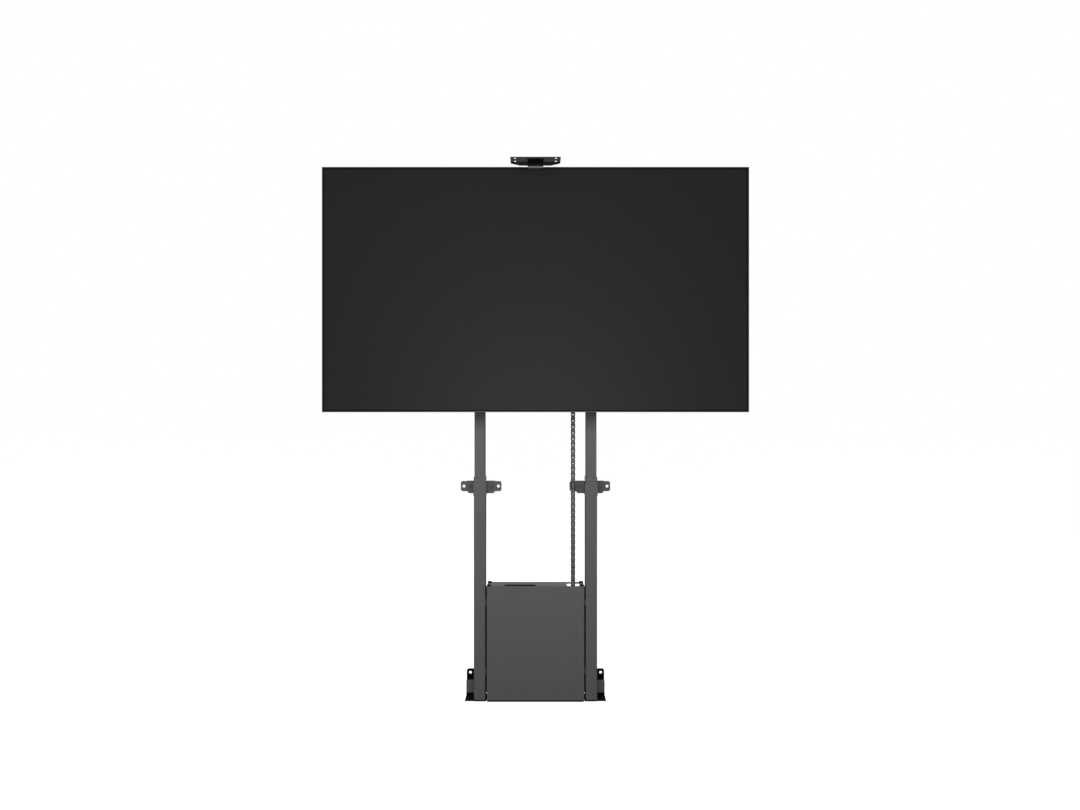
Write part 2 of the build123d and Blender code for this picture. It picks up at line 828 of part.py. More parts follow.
# Glass panel that lies on the bezel's lip
with BuildPart() as display_glass:
    with BuildSketch(facing(0, glass_back_y, screen_centre_height)):
        Rectangle(glass_width - 2 * bolt_clearance, glass_height - 2 * bolt_clearance)
    extrude(amount=glass_thickness)
save(display_glass, "display_glass")

# Back cover of the screen: a shallow tray with a raised middle, hollow inside
rim_width = screen_width - 2 * back_inset
rim_height = screen_height - 2 * back_inset
rim_back_y = bezel_back_y + cover_rim_depth
screen_bolt_hole = screen_bolt_size + 2 * bolt_clearance
screen_bolt_places = [
    (x * vesa_width / 2, screen_centre_height + z * vesa_height / 2) for x in (-1, 1) for z in (-1, 1)
]
with BuildPart() as display_back_cover:
    with BuildSketch(facing(0, rim_back_y, screen_centre_height)):
        Rectangle(rim_width, rim_height)
    extrude(amount=cover_rim_depth)
    with BuildSketch(facing(0, rim_back_y, screen_centre_height)):
        RectangleRounded(bulge_width, bulge_height, bulge_corner)
    with BuildSketch(facing(0, screen_back_y, screen_centre_height)):
        RectangleRounded(
            bulge_width - 2 * bulge_slope, bulge_height - 2 * bulge_slope, bulge_corner
        )
    loft()
    with BuildSketch(facing(0, rim_back_y - back_wall, screen_centre_height)):
        Rectangle(rim_width - 2 * back_wall, rim_height - 2 * back_wall)
    extrude(amount=cover_rim_depth - back_wall + cut_overrun, mode=Mode.SUBTRACT)
    with BuildSketch(facing(0, rim_back_y - back_wall, screen_centre_height)):
        RectangleRounded(
            bulge_width - 2 * back_wall, bulge_height - 2 * back_wall, bulge_corner - back_wall
        )
    with BuildSketch(facing(0, screen_back_y - back_wall, screen_centre_height)):
        RectangleRounded(
            bulge_width - 2 * (bulge_slope + back_wall),
            bulge_height - 2 * (bulge_slope + back_wall),
            bulge_corner - back_wall,
        )
    loft(mode=Mode.SUBTRACT)
    cut_front_holes(screen_bolt_places, screen_bolt_hole, screen_back_y - back_wall, screen_back_y)
save(display_back_cover, "display_back_cover")

# Terminal panel low on the back, with blank socket recesses
terminal_z = screen_centre_height - bulge_height / 2 + 2 * bulge_slope + terminal_height / 2
with BuildPart() as display_terminal_panel:
    with BuildSketch(facing(0, screen_back_y + terminal_proud, terminal_z)):
        RectangleRounded(terminal_width, terminal_height, bulge_slope / 2)
    extrude(amount=terminal_proud)
    with BuildSketch(facing(0, screen_back_y + terminal_proud, terminal_z)):
        with GridLocations(terminal_width / (terminal_count + 1), 0, terminal_count, 1):
            Rectangle(terminal_height / 2, terminal_height / 4, rotation=90)
    extrude(amount=terminal_proud / 2, mode=Mode.SUBTRACT)
save(display_terminal_panel, "display_terminal_panel")

# Hook strips bolted to the back of the screen, which drop over the lips of both rails
hook_back_y = rail_front_y + rail_sheet + running_gap + hook_thickness
for side_name, side in sides.items():
    strip_x = side * vesa_width / 2
    flange_offset = (hook_strip_width - hook_strip_sheet) / 2
    with BuildPart() as hook_strip:
        with BuildSketch(level(strip_x, 0, screen_centre_height - hook_strip_length / 2)):
            with Locations((0, screen_back_y + hook_strip_sheet / 2)):
                Rectangle(hook_strip_width, hook_strip_sheet)
            with Locations((0, screen_back_y + hook_strip_depth / 2)):
                with GridLocations(2 * flange_offset, 0, 2, 1):
                    Rectangle(hook_strip_sheet, hook_strip_depth)
        extrude(amount=hook_strip_length)
        for rail_z in rail_heights.values():
            lip_top = rail_z + rail_height / 2
            for end in (-1, 1):
                with BuildSketch(sideways(strip_x + end * flange_offset)):
                    with BuildLine():
                        Polyline(
                            (strip_back_y - hook_thickness, lip_top - hook_drop),
                            (strip_back_y, lip_top - hook_drop),
                            (strip_back_y, lip_top + running_gap),
                            (hook_back_y - hook_thickness, lip_top + running_gap),
                            (hook_back_y - hook_thickness, lip_top - hook_drop),
                            (hook_back_y, lip_top - hook_drop),
                            (hook_back_y, lip_top + running_gap + hook_thickness),
                            (strip_back_y - hook_thickness, lip_top + running_gap + hook_thickness),
                            close=True,
                        )
                    make_face()
                extrude(amount=hook_strip_sheet / 2, both=True)
        cut_front_holes(
            [place for place in screen_bolt_places if place[0] * side > 0],
            screen_bolt_hole,
            screen_back_y,
            screen_back_y + hook_strip_sheet,
        )
    save(hook_strip, f"{side_name}_hook_strip")

# Bolts that hold the hook strips to the screen
with BuildPart() as display_bolts:
    for x, z in screen_bolt_places:
        add_screw(
            x,
            screen_back_y + hook_strip_sheet,
            z,
            screen_bolt_size,
            hook_strip_sheet + back_wall + screen_bolt_size,
            head_side=1,
        )
save(display_bolts, "display_bolts")

# Guide on the back of the screen for the camera post
post_back_y = screen_back_y + post_back_gap + post_sheet
guide_inner_width = post_width + 2 * running_gap
guide_outer_width = guide_inner_width + 2 * guide_sheet
guide_bottom = screen_top - guide_top_gap - guide_height
guide_back_y = post_back_y + running_gap + guide_sheet
knob_hole = knob_stud + 2 * shaft_fit
guide_middle = guide_bottom + guide_height / 2
with BuildPart() as camera_post_guide:
    with BuildSketch(level(0, 0, guide_bottom)):
        with Locations((0, (screen_back_y + guide_back_y) / 2)):
            Rectangle(guide_outer_width, guide_back_y - screen_back_y)
        with Locations((0, screen_back_y + guide_sheet / 2)):
            Rectangle(guide_outer_width + 2 * guide_ear, guide_sheet)
        with Locations((0, (screen_back_y + post_back_y + running_gap) / 2)):
            Rectangle(
                guide_inner_width, post_back_y + running_gap - screen_back_y, mode=Mode.SUBTRACT
            )
    extrude(amount=guide_height)
    cut_front_holes([(0, guide_middle)], knob_hole, guide_back_y - guide_sheet, guide_back_y)
save(camera_post_guide, "camera_post_guide")

# Camera post: a strip up the back of the screen, an arm over its top and a stem under the shelf
shelf_bottom = screen_top + shelf_gap
shelf_front_y = screen_front_y - shelf_overhang
stem_back_y = screen_front_y - post_gap
stem_front_y = stem_back_y - post_sheet
arm_top = screen_top + post_arm_gap + post_sheet
post_bottom = guide_bottom - post_travel - post_spare
camera_screw_y = shelf_front_y + (shelf_slot_first + shelf_slot_second) / 2
with BuildPart() as camera_post:
    with BuildSketch(sideways(0)):
        with BuildLine():
            Polyline(
                (post_back_y - post_sheet, post_bottom),
                (post_back_y, post_bottom),
                (post_back_y, arm_top),
                (stem_back_y, arm_top),
                (stem_back_y, shelf_bottom),
                (stem_front_y - post_tongue, shelf_bottom),
                (stem_front_y - post_tongue, shelf_bottom - post_sheet),
                (stem_front_y, shelf_bottom - post_sheet),
                (stem_front_y, screen_top - post_lip_drop),
                (stem_back_y, screen_top - post_lip_drop),
                (stem_back_y, arm_top - post_sheet),
                (post_back_y - post_sheet, arm_top - post_sheet),
                close=True,
            )
        make_face()
    extrude(amount=post_width / 2, both=True)
    with BuildSketch(Plane.XY.offset(shelf_bottom - post_sheet - cut_overrun)):
        with Locations((0, camera_screw_y)):
            Circle(camera_screw_hole / 2)
    extrude(amount=post_sheet + 2 * cut_overrun, mode=Mode.SUBTRACT)
save(camera_post, "camera_post")

# Camera shelf: a plate with cut rear corners and four cable tie slots
with BuildPart() as camera_shelf:
    with BuildSketch(Plane.XY.offset(shelf_bottom)):
        with BuildLine():
            Polyline(
                (-shelf_width / 2, shelf_front_y),
                (shelf_width / 2, shelf_front_y),
                (shelf_width / 2, shelf_front_y + shelf_straight),
                (shelf_rear_width / 2, shelf_front_y + shelf_depth),
                (-shelf_rear_width / 2, shelf_front_y + shelf_depth),
                (-shelf_width / 2, shelf_front_y + shelf_straight),
                close=True,
            )
        make_face()
        slot_rows = [shelf_front_y + shelf_slot_first, shelf_front_y + shelf_slot_second]
        with Locations(*[(x * shelf_slot_spread / 2, y) for x in (-1, 1) for y in slot_rows]):
            SlotOverall(shelf_slot_length, shelf_slot_width, rotation=90, mode=Mode.SUBTRACT)
        with Locations((0, camera_screw_y)):
            Circle(camera_screw_hole / 2, mode=Mode.SUBTRACT)
    extrude(amount=shelf_sheet)
    upright_edges = camera_shelf.edges().filter_by(Axis.Z).filter_by(GeomType.LINE)
    fillet(upright_edges.group_by(Axis.Y)[0], shelf_corner)
save(camera_shelf, "camera_shelf")

# Knob that clamps the camera post in its guide
knob_front_y = guide_back_y + knob_stand
lobe_ring = (knob_diameter - knob_lobe_diameter) / 2
with BuildPart() as clamp_knob:
    with BuildSketch(facing(0, knob_front_y + knob_depth, guide_middle)):
        Circle(lobe_ring)
        with PolarLocations(lobe_ring, knob_lobes):
            Circle(knob_lobe_diameter / 2)
    extrude(amount=knob_depth)
    fillet(clamp_knob.faces().sort_by(Axis.Y)[-1].edges(), knob_stand)
    with BuildSketch(facing(0, knob_front_y, guide_middle)):
        Circle(knob_stud / 2)
    extrude(amount=knob_front_y - post_back_y - running_gap)
save(clamp_knob, "clamp_knob")

# Front cover: a folded sheet with a top flange, a rear lip and two side returns
cover_top = cover_bottom_gap + cover_height
cover_half = column_x - outer_width / 2 - cover_side_gap
cover_front_y = column_front_y
cover_flange_back_y = cover_front_y + cover_flange_depth
hanger_y = cover_front_y + hanger_setback
hanger_slot_width = hanger_thickness + 2 * running_gap
cable_slot_y = cover_front_y + cable_slot_front + cable_slot_depth / 2
chain_slot_y = cover_front_y + chain_slot_front + chain_slot_depth / 2
with BuildPart() as front_cover:
    with BuildSketch(Plane.YZ.offset(-cover_half)):
        with BuildLine():
            Polyline(
                (cover_front_y, cover_bottom_gap),
                (cover_front_y, cover_top),
                (cover_flange_back_y, cover_top),
                (cover_flange_back_y, cover_top - cover_rear_lip),
                (cover_flange_back_y - cover_sheet, cover_top - cover_rear_lip),
                (cover_flange_back_y - cover_sheet, cover_top - cover_sheet),
                (cover_front_y + cover_sheet, cover_top - cover_sheet),
                (cover_front_y + cover_sheet, cover_bottom_gap),
                close=True,
            )
        make_face()
    extrude(amount=2 * cover_half)
    for side in sides.values():
        with BuildSketch(level(side * (cover_half - cover_sheet / 2), 0, cover_bottom_gap)):
            with Locations((0, cover_front_y + cover_return_depth / 2)):
                Rectangle(cover_sheet, cover_return_depth)
        extrude(amount=cover_height)
    top_bends = [
        edge
        for edge in front_cover.edges().filter_by(Axis.X)
        if edge.center().Z > cover_top - cover_sheet / 2
    ]
    fillet(top_bends, cover_bend)
    with BuildSketch(Plane.XY.offset(cover_top + cut_overrun)):
        with Locations((-cable_slot_length / 2, cable_slot_y)):
            RectangleRounded(cable_slot_length, cable_slot_depth, cover_rear_lip)
        with Locations((chain_x, chain_slot_y)):
            RectangleRounded(chain_slot_length, chain_slot_depth, chain_slot_corner)
    extrude(amount=-cover_sheet - 2 * cut_overrun, mode=Mode.SUBTRACT)
    for low in (hanger_low, hanger_high):
        slot_bottom = low - cover_lift - running_gap
        slot_top = low + hanger_height + running_gap
        with BuildSketch(Plane.YZ.offset(-cover_half - cut_overrun)):
            with Locations((hanger_y, (slot_bottom + slot_top) / 2)):
                Rectangle(hanger_slot_width, slot_top - slot_bottom)
        extrude(amount=2 * (cover_half + cut_overrun), mode=Mode.SUBTRACT)
save(front_cover, "front_cover")

# Rubber bumpers on the corners of the cover's flange
with BuildPart() as cover_pads:
    with BuildSketch(Plane.XY.offset(cover_top)):
        pad_spread = 2 * cover_half - pad_width
        with Locations((0, cover_front_y + pad_front_depth / 2 + cover_bend)):
            with GridLocations(pad_spread, 0, 2, 1):
                RectangleRounded(pad_width, pad_front_depth, pad_corner)
        with Locations((0, cover_flange_back_y - pad_rear_depth / 2 - cover_bend)):
            with GridLocations(pad_spread, 0, 2, 1):
                RectangleRounded(pad_width, pad_rear_depth, pad_corner)
    extrude(amount=pad_height)
    fillet(cover_pads.faces().group_by(Axis.Z)[-1].edges(), pad_height / 4)
save(cover_pads, "cover_pads")

# Rubber grommet that lines the cable slot from below
with BuildPart() as cable_grommet:
    with BuildSketch(Plane.XY.offset(cover_top - cover_sheet - grommet_sheet)):
        with Locations((-cable_slot_length / 2, cable_slot_y)):
            Rectangle(cable_slot_length + grommet_border, cable_slot_depth + grommet_border)
            Rectangle(
                cable_slot_length - grommet_border, cable_slot_depth - grommet_border, mode=Mode.SUBTRACT
            )
    extrude(amount=grommet_sheet)
save(cable_grommet, "cable_grommet")

# Hangers on the inner sides of the columns, which the cover's side slots drop over
hanger_tip = cover_half - cover_sheet - hanger_reach
hanger_root = column_x - outer_width / 2
with BuildPart() as cover_hangers:
    for low in (hanger_low, hanger_high):
        for side in sides.values():
            with BuildSketch(level(side * (hanger_root + hanger_tip) / 2, hanger_y, low)):
                Rectangle(hanger_root - hanger_tip, hanger_thickness)
            extrude(amount=hanger_height)
            pad_plane = level(side * (hanger_root - hanger_thickness / 2), hanger_y, low - hanger_thickness)
            with BuildSketch(pad_plane):
                Rectangle(hanger_thickness, hanger_height)
            extrude(amount=hanger_height + 2 * hanger_thickness)
save(cover_hangers, "cover_hangers")

# Back plate between the columns, with windows to the wall sockets and a tab behind the cable slot
tie_half = column_x + outer_width / 2 - tie_side_inset
with BuildPart() as rear_tie_plate:
    with BuildSketch(facing(0, column_back_y + tie_sheet, tie_bolt_middle)):
        with Locations((0, (tie_top + tie_bottom) / 2 - tie_bolt_middle)):
            Rectangle(2 * tie_half, tie_top - tie_bottom)
        with Locations(
            *[
                (side * (tie_half - tie_ear_width / 2), (tie_ear_top + tie_top) / 2 - tie_bolt_middle)
                for side in (-1, 1)
            ]
        ):
            Rectangle(tie_ear_width, tie_ear_top - tie_top)
        with Locations((tie_ear_width / 2 - tie_half / 2, (tie_tab_top + tie_top) / 2 - tie_bolt_middle)):
            Rectangle(tie_half - tie_ear_width, tie_tab_top - tie_top)
        with GridLocations(tie_window_spread, tie_window_pitch, 2, 2):
            RectangleRounded(tie_window_width, tie_window_height, box_corner, mode=Mode.SUBTRACT)
        with GridLocations(column_spacing, tie_bolt_spread, 2, 2):
            Circle(tie_bolt_size / 2 + bolt_clearance, mode=Mode.SUBTRACT)
    extrude(amount=tie_sheet)
save(rear_tie_plate, "rear_tie_plate")

# Bolts that hold the back plate to the outer tubes, short enough to clear the inner tubes
with BuildPart() as tie_plate_bolts:
    for x in column_places:
        for height in tie_bolt_heights:
            add_screw(
                x,
                column_back_y + tie_sheet,
                height,
                tie_bolt_size,
                tie_sheet + outer_wall - bolt_clearance,
                head_side=1,
            )
save(tie_plate_bolts, "tie_plate_bolts")

# Control box on the back plate, open to the front, with a hole for the mains inlet
box_front_y = column_back_y - box_depth
box_middle = box_bottom + box_height / 2
inlet_body_width = inlet_pocket_width + 2 * box_wall
inlet_body_depth = inlet_pocket_depth + 2 * box_wall
box_centre_y = column_back_y - box_depth / 2
with BuildPart() as control_box:
    with BuildSketch(facing(0, column_back_y, box_middle)):
        RectangleRounded(box_width, box_height, box_corner)
    extrude(amount=box_depth)
    with BuildSketch(facing(0, column_back_y - box_wall, box_middle)):
        RectangleRounded(box_width - 2 * box_wall, box_height - 2 * box_wall, box_corner - box_wall)
    extrude(amount=box_depth, mode=Mode.SUBTRACT)
    with BuildSketch(level(-inlet_offset, box_centre_y, box_bottom - cut_overrun)):
        Rectangle(inlet_body_width + 2 * bolt_clearance, inlet_body_depth + 2 * bolt_clearance)
    extrude(amount=box_wall + 2 * cut_overrun, mode=Mode.SUBTRACT)
save(control_box, "control_box")

# Lid of the control box, with a spigot that fits inside its walls
with BuildPart() as control_box_lid:
    with BuildSketch(facing(0, box_front_y, box_middle)):
        RectangleRounded(box_width, box_height, box_corner)
    extrude(amount=lid_thickness)
    fillet(control_box_lid.faces().sort_by(Axis.Y)[0].edges(), lid_thickness / 2)
    spigot_width = box_width - 2 * (box_wall + bolt_clearance)
    spigot_height = box_height - 2 * (box_wall + bolt_clearance)
    with BuildSketch(facing(0, box_front_y, box_middle)):
        RectangleRounded(spigot_width, spigot_height, box_wall)
        Rectangle(spigot_width - box_corner, spigot_height - box_corner, mode=Mode.SUBTRACT)
    extrude(amount=-box_wall)
save(control_box_lid, "control_box_lid")

# Mains inlet in the underside of the box: a flange, a deep pocket and three pins
with BuildPart() as mains_inlet:
    with BuildSketch(level(-inlet_offset, box_centre_y, box_bottom - inlet_flange)):
        RectangleRounded(inlet_width, inlet_depth, box_corner)
    extrude(amount=inlet_flange)
    with BuildSketch(level(-inlet_offset, box_centre_y, box_bottom)):
        Rectangle(inlet_body_width, inlet_body_depth)
    extrude(amount=inlet_height)
    with BuildSketch(level(-inlet_offset, box_centre_y, box_bottom - inlet_flange)):
        Rectangle(inlet_pocket_width, inlet_pocket_depth)
    extrude(amount=inlet_flange + inlet_height - box_wall, mode=Mode.SUBTRACT)
    with BuildSketch(level(-inlet_offset, box_centre_y, box_bottom + inlet_flange)):
        with Locations((-inlet_pin_spread, 0), (0, inlet_pin / 2), (inlet_pin_spread, 0)):
            Rectangle(inlet_pin / 2, inlet_pin)
    extrude(amount=inlet_height - box_wall - inlet_flange)
save(mains_inlet, "mains_inlet")


# Adds one link of the cable chain, two side plates joined by a front and a back bar
def add_link(centre_y, bottom):
    side_x = (chain_width - chain_side) / 2
    link_length = chain_pitch - chain_link_gap
    with BuildSketch(level(chain_x, centre_y, bottom + chain_link_gap / 2)) as plates:
        with GridLocations(2 * side_x, 0, 2, 1):
            Rectangle(chain_side, chain_thickness)
    extrude(plates.sketch, amount=link_length)
    bar_bottom = bottom + (chain_pitch - chain_bar_height) / 2
    with BuildSketch(level(chain_x, centre_y, bar_bottom)) as bars:
        with GridLocations(0, chain_thickness - chain_bar, 1, 2):
            Rectangle(chain_width, chain_bar)
    extrude(bars.sketch, amount=chain_bar_height)


# Upper run of the chain, which travels with the carriage
with BuildPart() as chain_upper_run:
    for index in range(chain_upper_links):
        add_link(chain_centre_y, chain_join + index * chain_pitch)
save(chain_upper_run, "chain_upper_run")

# Lower run, which rolls off onto the fixed side as the carriage comes down
with BuildPart() as chain_lower_run:
    for index in range(chain_lower_links):
        add_link(chain_centre_y, chain_bend_height + index * chain_pitch)
save(chain_lower_run, "chain_lower_run")

# Short fixed run behind the bend
with BuildPart() as chain_fixed_run:
    for index in range(chain_fixed_links):
        add_link(chain_fixed_y, chain_bend_height + index * chain_pitch)
save(chain_fixed_run, "chain_fixed_run")

# Bend of the chain: three curved links in a half circle
bend_links = 3
half_turn = 180.0
bend_centre_y = chain_centre_y + chain_bend_radius
bend_outer = chain_bend_radius + chain_thickness / 2
bend_inner = chain_bend_radius - chain_thickness / 2
bend_step = half_turn / bend_links
bend_gap = math.degrees(chain_link_gap / chain_bend_radius)
bar_turn = math.degrees(chain_bar_height / 2 / chain_bend_radius)


# A ring sector in the plane of the bend, as a face
def ring_sector(inner_radius, outer_radius, start, turn):
    centre = (bend_centre_y, chain_bend_height)
    with BuildLine() as outline:
        inner_arc = CenterArc(centre, inner_radius, start, turn)
        outer_arc = CenterArc(centre, outer_radius, start, turn)
        Line(inner_arc @ 0, outer_arc @ 0)
        Line(inner_arc @ 1, outer_arc @ 1)
    return outline


with BuildPart() as chain_bend:
    for index in range(bend_links):
        start = half_turn + index * bend_step + bend_gap / 2
        bar_start = half_turn + (index + 1 / 2) * bend_step - bar_turn / 2
        for end in (-1, 1):
            plate_x = chain_x + end * (chain_width - chain_side) / 2
            with BuildSketch(sideways(plate_x)):
                make_face(ring_sector(bend_inner, bend_outer, start, bend_step - bend_gap).line)
            extrude(amount=chain_side / 2, both=True)
        with BuildSketch(sideways(chain_x)):
            make_face(ring_sector(bend_inner, bend_inner + chain_bar, bar_start, bar_turn).line)
            make_face(ring_sector(bend_outer - chain_bar, bend_outer, bar_start, bar_turn).line)
        extrude(amount=chain_width / 2, both=True)
save(chain_bend, "chain_bend")

# Bracket that anchors the fixed end of the chain on the back plate
anchor_front_y = chain_fixed_y + chain_thickness / 2
anchor_width = chain_width + 2 * chain_arm_margin
with BuildPart() as chain_anchor:
    with BuildSketch(level(chain_x, 0, chain_bend_height)):
        with Locations((0, (anchor_front_y + column_back_y) / 2)):
            Rectangle(anchor_width, column_back_y - anchor_front_y)
    extrude(amount=chain_fixed_top + chain_arm_sheet - chain_bend_height)
    with BuildSketch(level(chain_x, 0, chain_fixed_top)):
        with Locations((0, anchor_front_y - chain_thickness / 2)):
            Rectangle(anchor_width, chain_thickness)
    extrude(amount=chain_arm_sheet)
save(chain_anchor, "chain_anchor")

# Arm under the head beam that carries the moving end of the chain
chain_back_y = chain_centre_y + chain_thickness / 2
with BuildPart() as chain_arm:
    with BuildSketch(level(chain_x, chain_back_y + chain_arm_sheet / 2, chain_end - 2 * chain_pitch)):
        Rectangle(anchor_width, chain_arm_sheet)
    extrude(amount=beam_bottom - chain_end + 2 * chain_pitch)
    with BuildSketch(level(chain_x, column_y, beam_bottom)):
        Rectangle(anchor_width, beam_depth)
    extrude(amount=-chain_arm_sheet)
save(chain_arm, "chain_arm")
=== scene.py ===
# %% [markdown]
# This is a motorised lift for a large screen, seen raised. Two telescopic columns stand on sheet-metal
# feet, a folded cover hides the drive between them, and a cable chain feeds the screen.
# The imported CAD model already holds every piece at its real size. This script gives each one its finish,
# rebuilds the pieces whose detail the solids leave out, and sets up the camera and the light.

# %% Load the frame
import json
import math

import bmesh
import bpy
from mathutils import Matrix, Vector


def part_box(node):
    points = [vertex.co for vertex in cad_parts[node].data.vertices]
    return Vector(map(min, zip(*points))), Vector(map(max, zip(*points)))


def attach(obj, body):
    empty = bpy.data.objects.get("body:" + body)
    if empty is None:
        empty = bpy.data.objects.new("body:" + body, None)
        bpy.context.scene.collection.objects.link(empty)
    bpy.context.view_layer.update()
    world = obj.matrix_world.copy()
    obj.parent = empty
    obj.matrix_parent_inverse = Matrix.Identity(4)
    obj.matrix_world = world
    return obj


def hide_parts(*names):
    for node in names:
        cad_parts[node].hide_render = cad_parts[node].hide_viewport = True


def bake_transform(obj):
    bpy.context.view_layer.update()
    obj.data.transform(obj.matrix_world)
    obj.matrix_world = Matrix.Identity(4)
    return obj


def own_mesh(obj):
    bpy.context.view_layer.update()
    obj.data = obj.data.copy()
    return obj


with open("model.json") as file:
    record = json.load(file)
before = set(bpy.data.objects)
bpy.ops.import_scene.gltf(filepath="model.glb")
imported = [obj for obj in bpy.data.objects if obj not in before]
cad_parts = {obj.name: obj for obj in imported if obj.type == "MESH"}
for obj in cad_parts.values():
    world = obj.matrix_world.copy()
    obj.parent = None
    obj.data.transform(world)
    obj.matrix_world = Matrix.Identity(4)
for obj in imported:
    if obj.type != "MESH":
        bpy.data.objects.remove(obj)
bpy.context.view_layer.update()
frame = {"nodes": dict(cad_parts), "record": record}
cad_nodes = frame["nodes"]
node_bodies = {name: body for body, names in frame["record"]["behaviour"]["bodies"].items() for name in names}

# %% [markdown]
# Real sizes are easier to read in millimetres, and Blender works in metres, so one function converts them.
# Colours are written as the sRGB hex values that a colour picker shows, and Blender wants them linear.
# The numbers in the conversion are those of the sRGB standard.

# %% Units and colours
MILLIMETRE = 0.001


def mm(value):
    return value * MILLIMETRE


def linear(hex_text):
    parts = [int(hex_text[at : at + 2], 16) / 255 for at in (0, 2, 4)]
    return (*[p / 12.92 if p <= 0.04045 else ((p + 0.055) / 1.055) ** 2.4 for p in parts], 1.0)


print("mid grey", [round(part, 3) for part in linear("808080")])

# %% [markdown]
# The picture is taken from 3.4 m in front of the lift with a level camera 1.2 m above the floor.
# The lens follows from the screen: 1677 mm fills 427 of the 1080 pixels at that distance.
# A level camera keeps the columns upright, so the frame needs only a tiny sideways shift.

# %% Camera
image_width = 1080
focal_pixels = 838.4
middle_pixel = 535.5
sensor_width = 36.0
camera_distance = mm(3434)
camera_height = mm(1205)
camera_data = bpy.data.cameras.new("front_camera")
camera_data.sensor_width = sensor_width
camera_data.lens = focal_pixels / image_width * sensor_width
camera_data.shift_x = (image_width / 2 - middle_pixel) / image_width
camera = bpy.data.objects.new("front_camera", camera_data)
camera.location = (0, -camera_distance, camera_height)
camera.rotation_euler = (math.radians(90), 0, 0)
bpy.context.scene.collection.objects.link(camera)
bpy.context.scene.camera = camera
bpy.context.scene.view_settings.view_transform = "Standard"
print("lens", round(camera_data.lens, 2), "mm")

# %% [markdown]
# Every finish below is a small tree of nodes. One function adds a node, sets what it is told and links
# its inputs, so that a material reads as a list of what it is made of.

# %% A node at a time
def add_node(tree, kind, settings=None, values=None, links=None):
    node = tree.nodes.new(kind)
    for name, value in (settings or {}).items():
        setattr(node, name, value)
    for socket, value in (values or {}).items():
        node.inputs[socket].default_value = value
    for socket, source in (links or {}).items():
        tree.links.new(source, node.inputs[socket])
    return node


def new_material(name):
    material = bpy.data.materials.new(name)
    material.use_nodes = True
    material.node_tree.nodes.clear()
    return material, material.node_tree


print("node helper ready")

# %% [markdown]
# No real surface has one even tone. So every finish ends in the same few nodes: a pattern mixes a dark
# and a light colour and varies the roughness a little, a relief raises fine bumps, and the Principled
# shader takes all three.

# %% A skin
def add_skin(tree, pattern, relief, colours, gloss, bump_values, shader_values):
    tint = add_node(
        tree,
        "ShaderNodeMix",
        {"data_type": "RGBA"},
        {6: linear(colours[0]), 7: linear(colours[1])},
        {0: pattern},
    )
    sheen = add_node(
        tree,
        "ShaderNodeMapRange",
        values={"To Min": gloss[0], "To Max": gloss[1]},
        links={"Value": pattern},
    )
    bump = add_node(tree, "ShaderNodeBump", values=bump_values, links={"Height": relief})
    shader = add_node(
        tree,
        "ShaderNodeBsdfPrincipled",
        values=shader_values,
        links={
            "Base Color": tint.outputs[2],
            "Roughness": sheen.outputs["Result"],
            "Normal": bump.outputs["Normal"],
        },
    )
    add_node(tree, "ShaderNodeOutputMaterial", links={"Surface": shader.outputs["BSDF"]})


print("skin ready")

# %% [markdown]
# Most surfaces here have a fine grain: sprayed powder, spark-eroded mould texture, shot-blasted metal.
# They differ in grain size, depth, colour and gloss. So one recipe builds the grain from a noise in real
# millimetres and tints it slightly with a second, larger noise, as uneven coating does. A finish is given
# by its darkest and lightest colour, the size and depth of its grain in millimetres, and the range of its
# roughness.

# %% Grained surface
mottle_detail = 3.0
mottle_roughness = 0.6
grain_detail = 2.0
grain_roughness = 0.5
grain_strength = 0.6


def grained(
    name, dark, light, grain, depth, gloss, mottle=12.0, metallic=0.0, ior=1.5, specular=0.5
):
    material, tree = new_material(name)
    place = add_node(tree, "ShaderNodeTexCoord")
    clouds = add_node(
        tree,
        "ShaderNodeTexNoise",
        values={"Scale": 1 / mm(mottle), "Detail": mottle_detail, "Roughness": mottle_roughness},
        links={"Vector": place.outputs["Object"]},
    )
    grain_noise = add_node(
        tree,
        "ShaderNodeTexNoise",
        values={"Scale": 1 / mm(grain), "Detail": grain_detail, "Roughness": grain_roughness},
        links={"Vector": place.outputs["Object"]},
    )
    add_skin(
        tree,
        pattern=clouds.outputs["Fac"],
        relief=grain_noise.outputs["Fac"],
        colours=(dark, light),
        gloss=gloss,
        bump_values={"Strength": grain_strength, "Distance": mm(depth)},
        shader_values={"Metallic": metallic, "IOR": ior, "Specular IOR Level": specular},
    )
    return material


print("grained surface ready")

# %% [markdown]
# The columns, cover and brackets are mild steel with a baked polyester powder coat in graphite grey.
# Sprayed powder melts into a fine orange peel, which blurs reflections and leaves a satin, slightly speckled
# grey. Real orange peel is under a millimetre across, which no pixel shows from here, so its grain is drawn
# at 1.6 mm. A second, smoother coat is black. It covers the guide of the camera post. It is also painted
# shade on the base plates, where it gives the dark line at the feet of the columns, and on parts of some
# other pieces, which are picked out further below.

# %% Powder coats and painted shade
graphite_coat = grained(
    "powder_coated_steel_graphite",
    "58585a",
    "606062",
    grain=1.6,
    depth=0.12,
    gloss=(0.72, 0.84),
    mottle=9.0,
    specular=0.06,
)
black_coat_and_painted_shade = grained(
    "black_powder_coat_and_painted_shade",
    "0a0a0b",
    "101011",
    grain=1.4,
    depth=0.06,
    gloss=(0.5, 0.62),
    specular=0.01,
)
print(graphite_coat.name, black_coat_and_painted_shade.name)

# %% [markdown]
# Machined and plated pieces come next. Screws are black oxide steel, which looks like dark oiled metal.
# Spindles are rolled steel, nuts are bronze, and the motors are tubes of zinc-plated steel.
# A metal keeps its default index of refraction, and only colour and roughness set it apart.

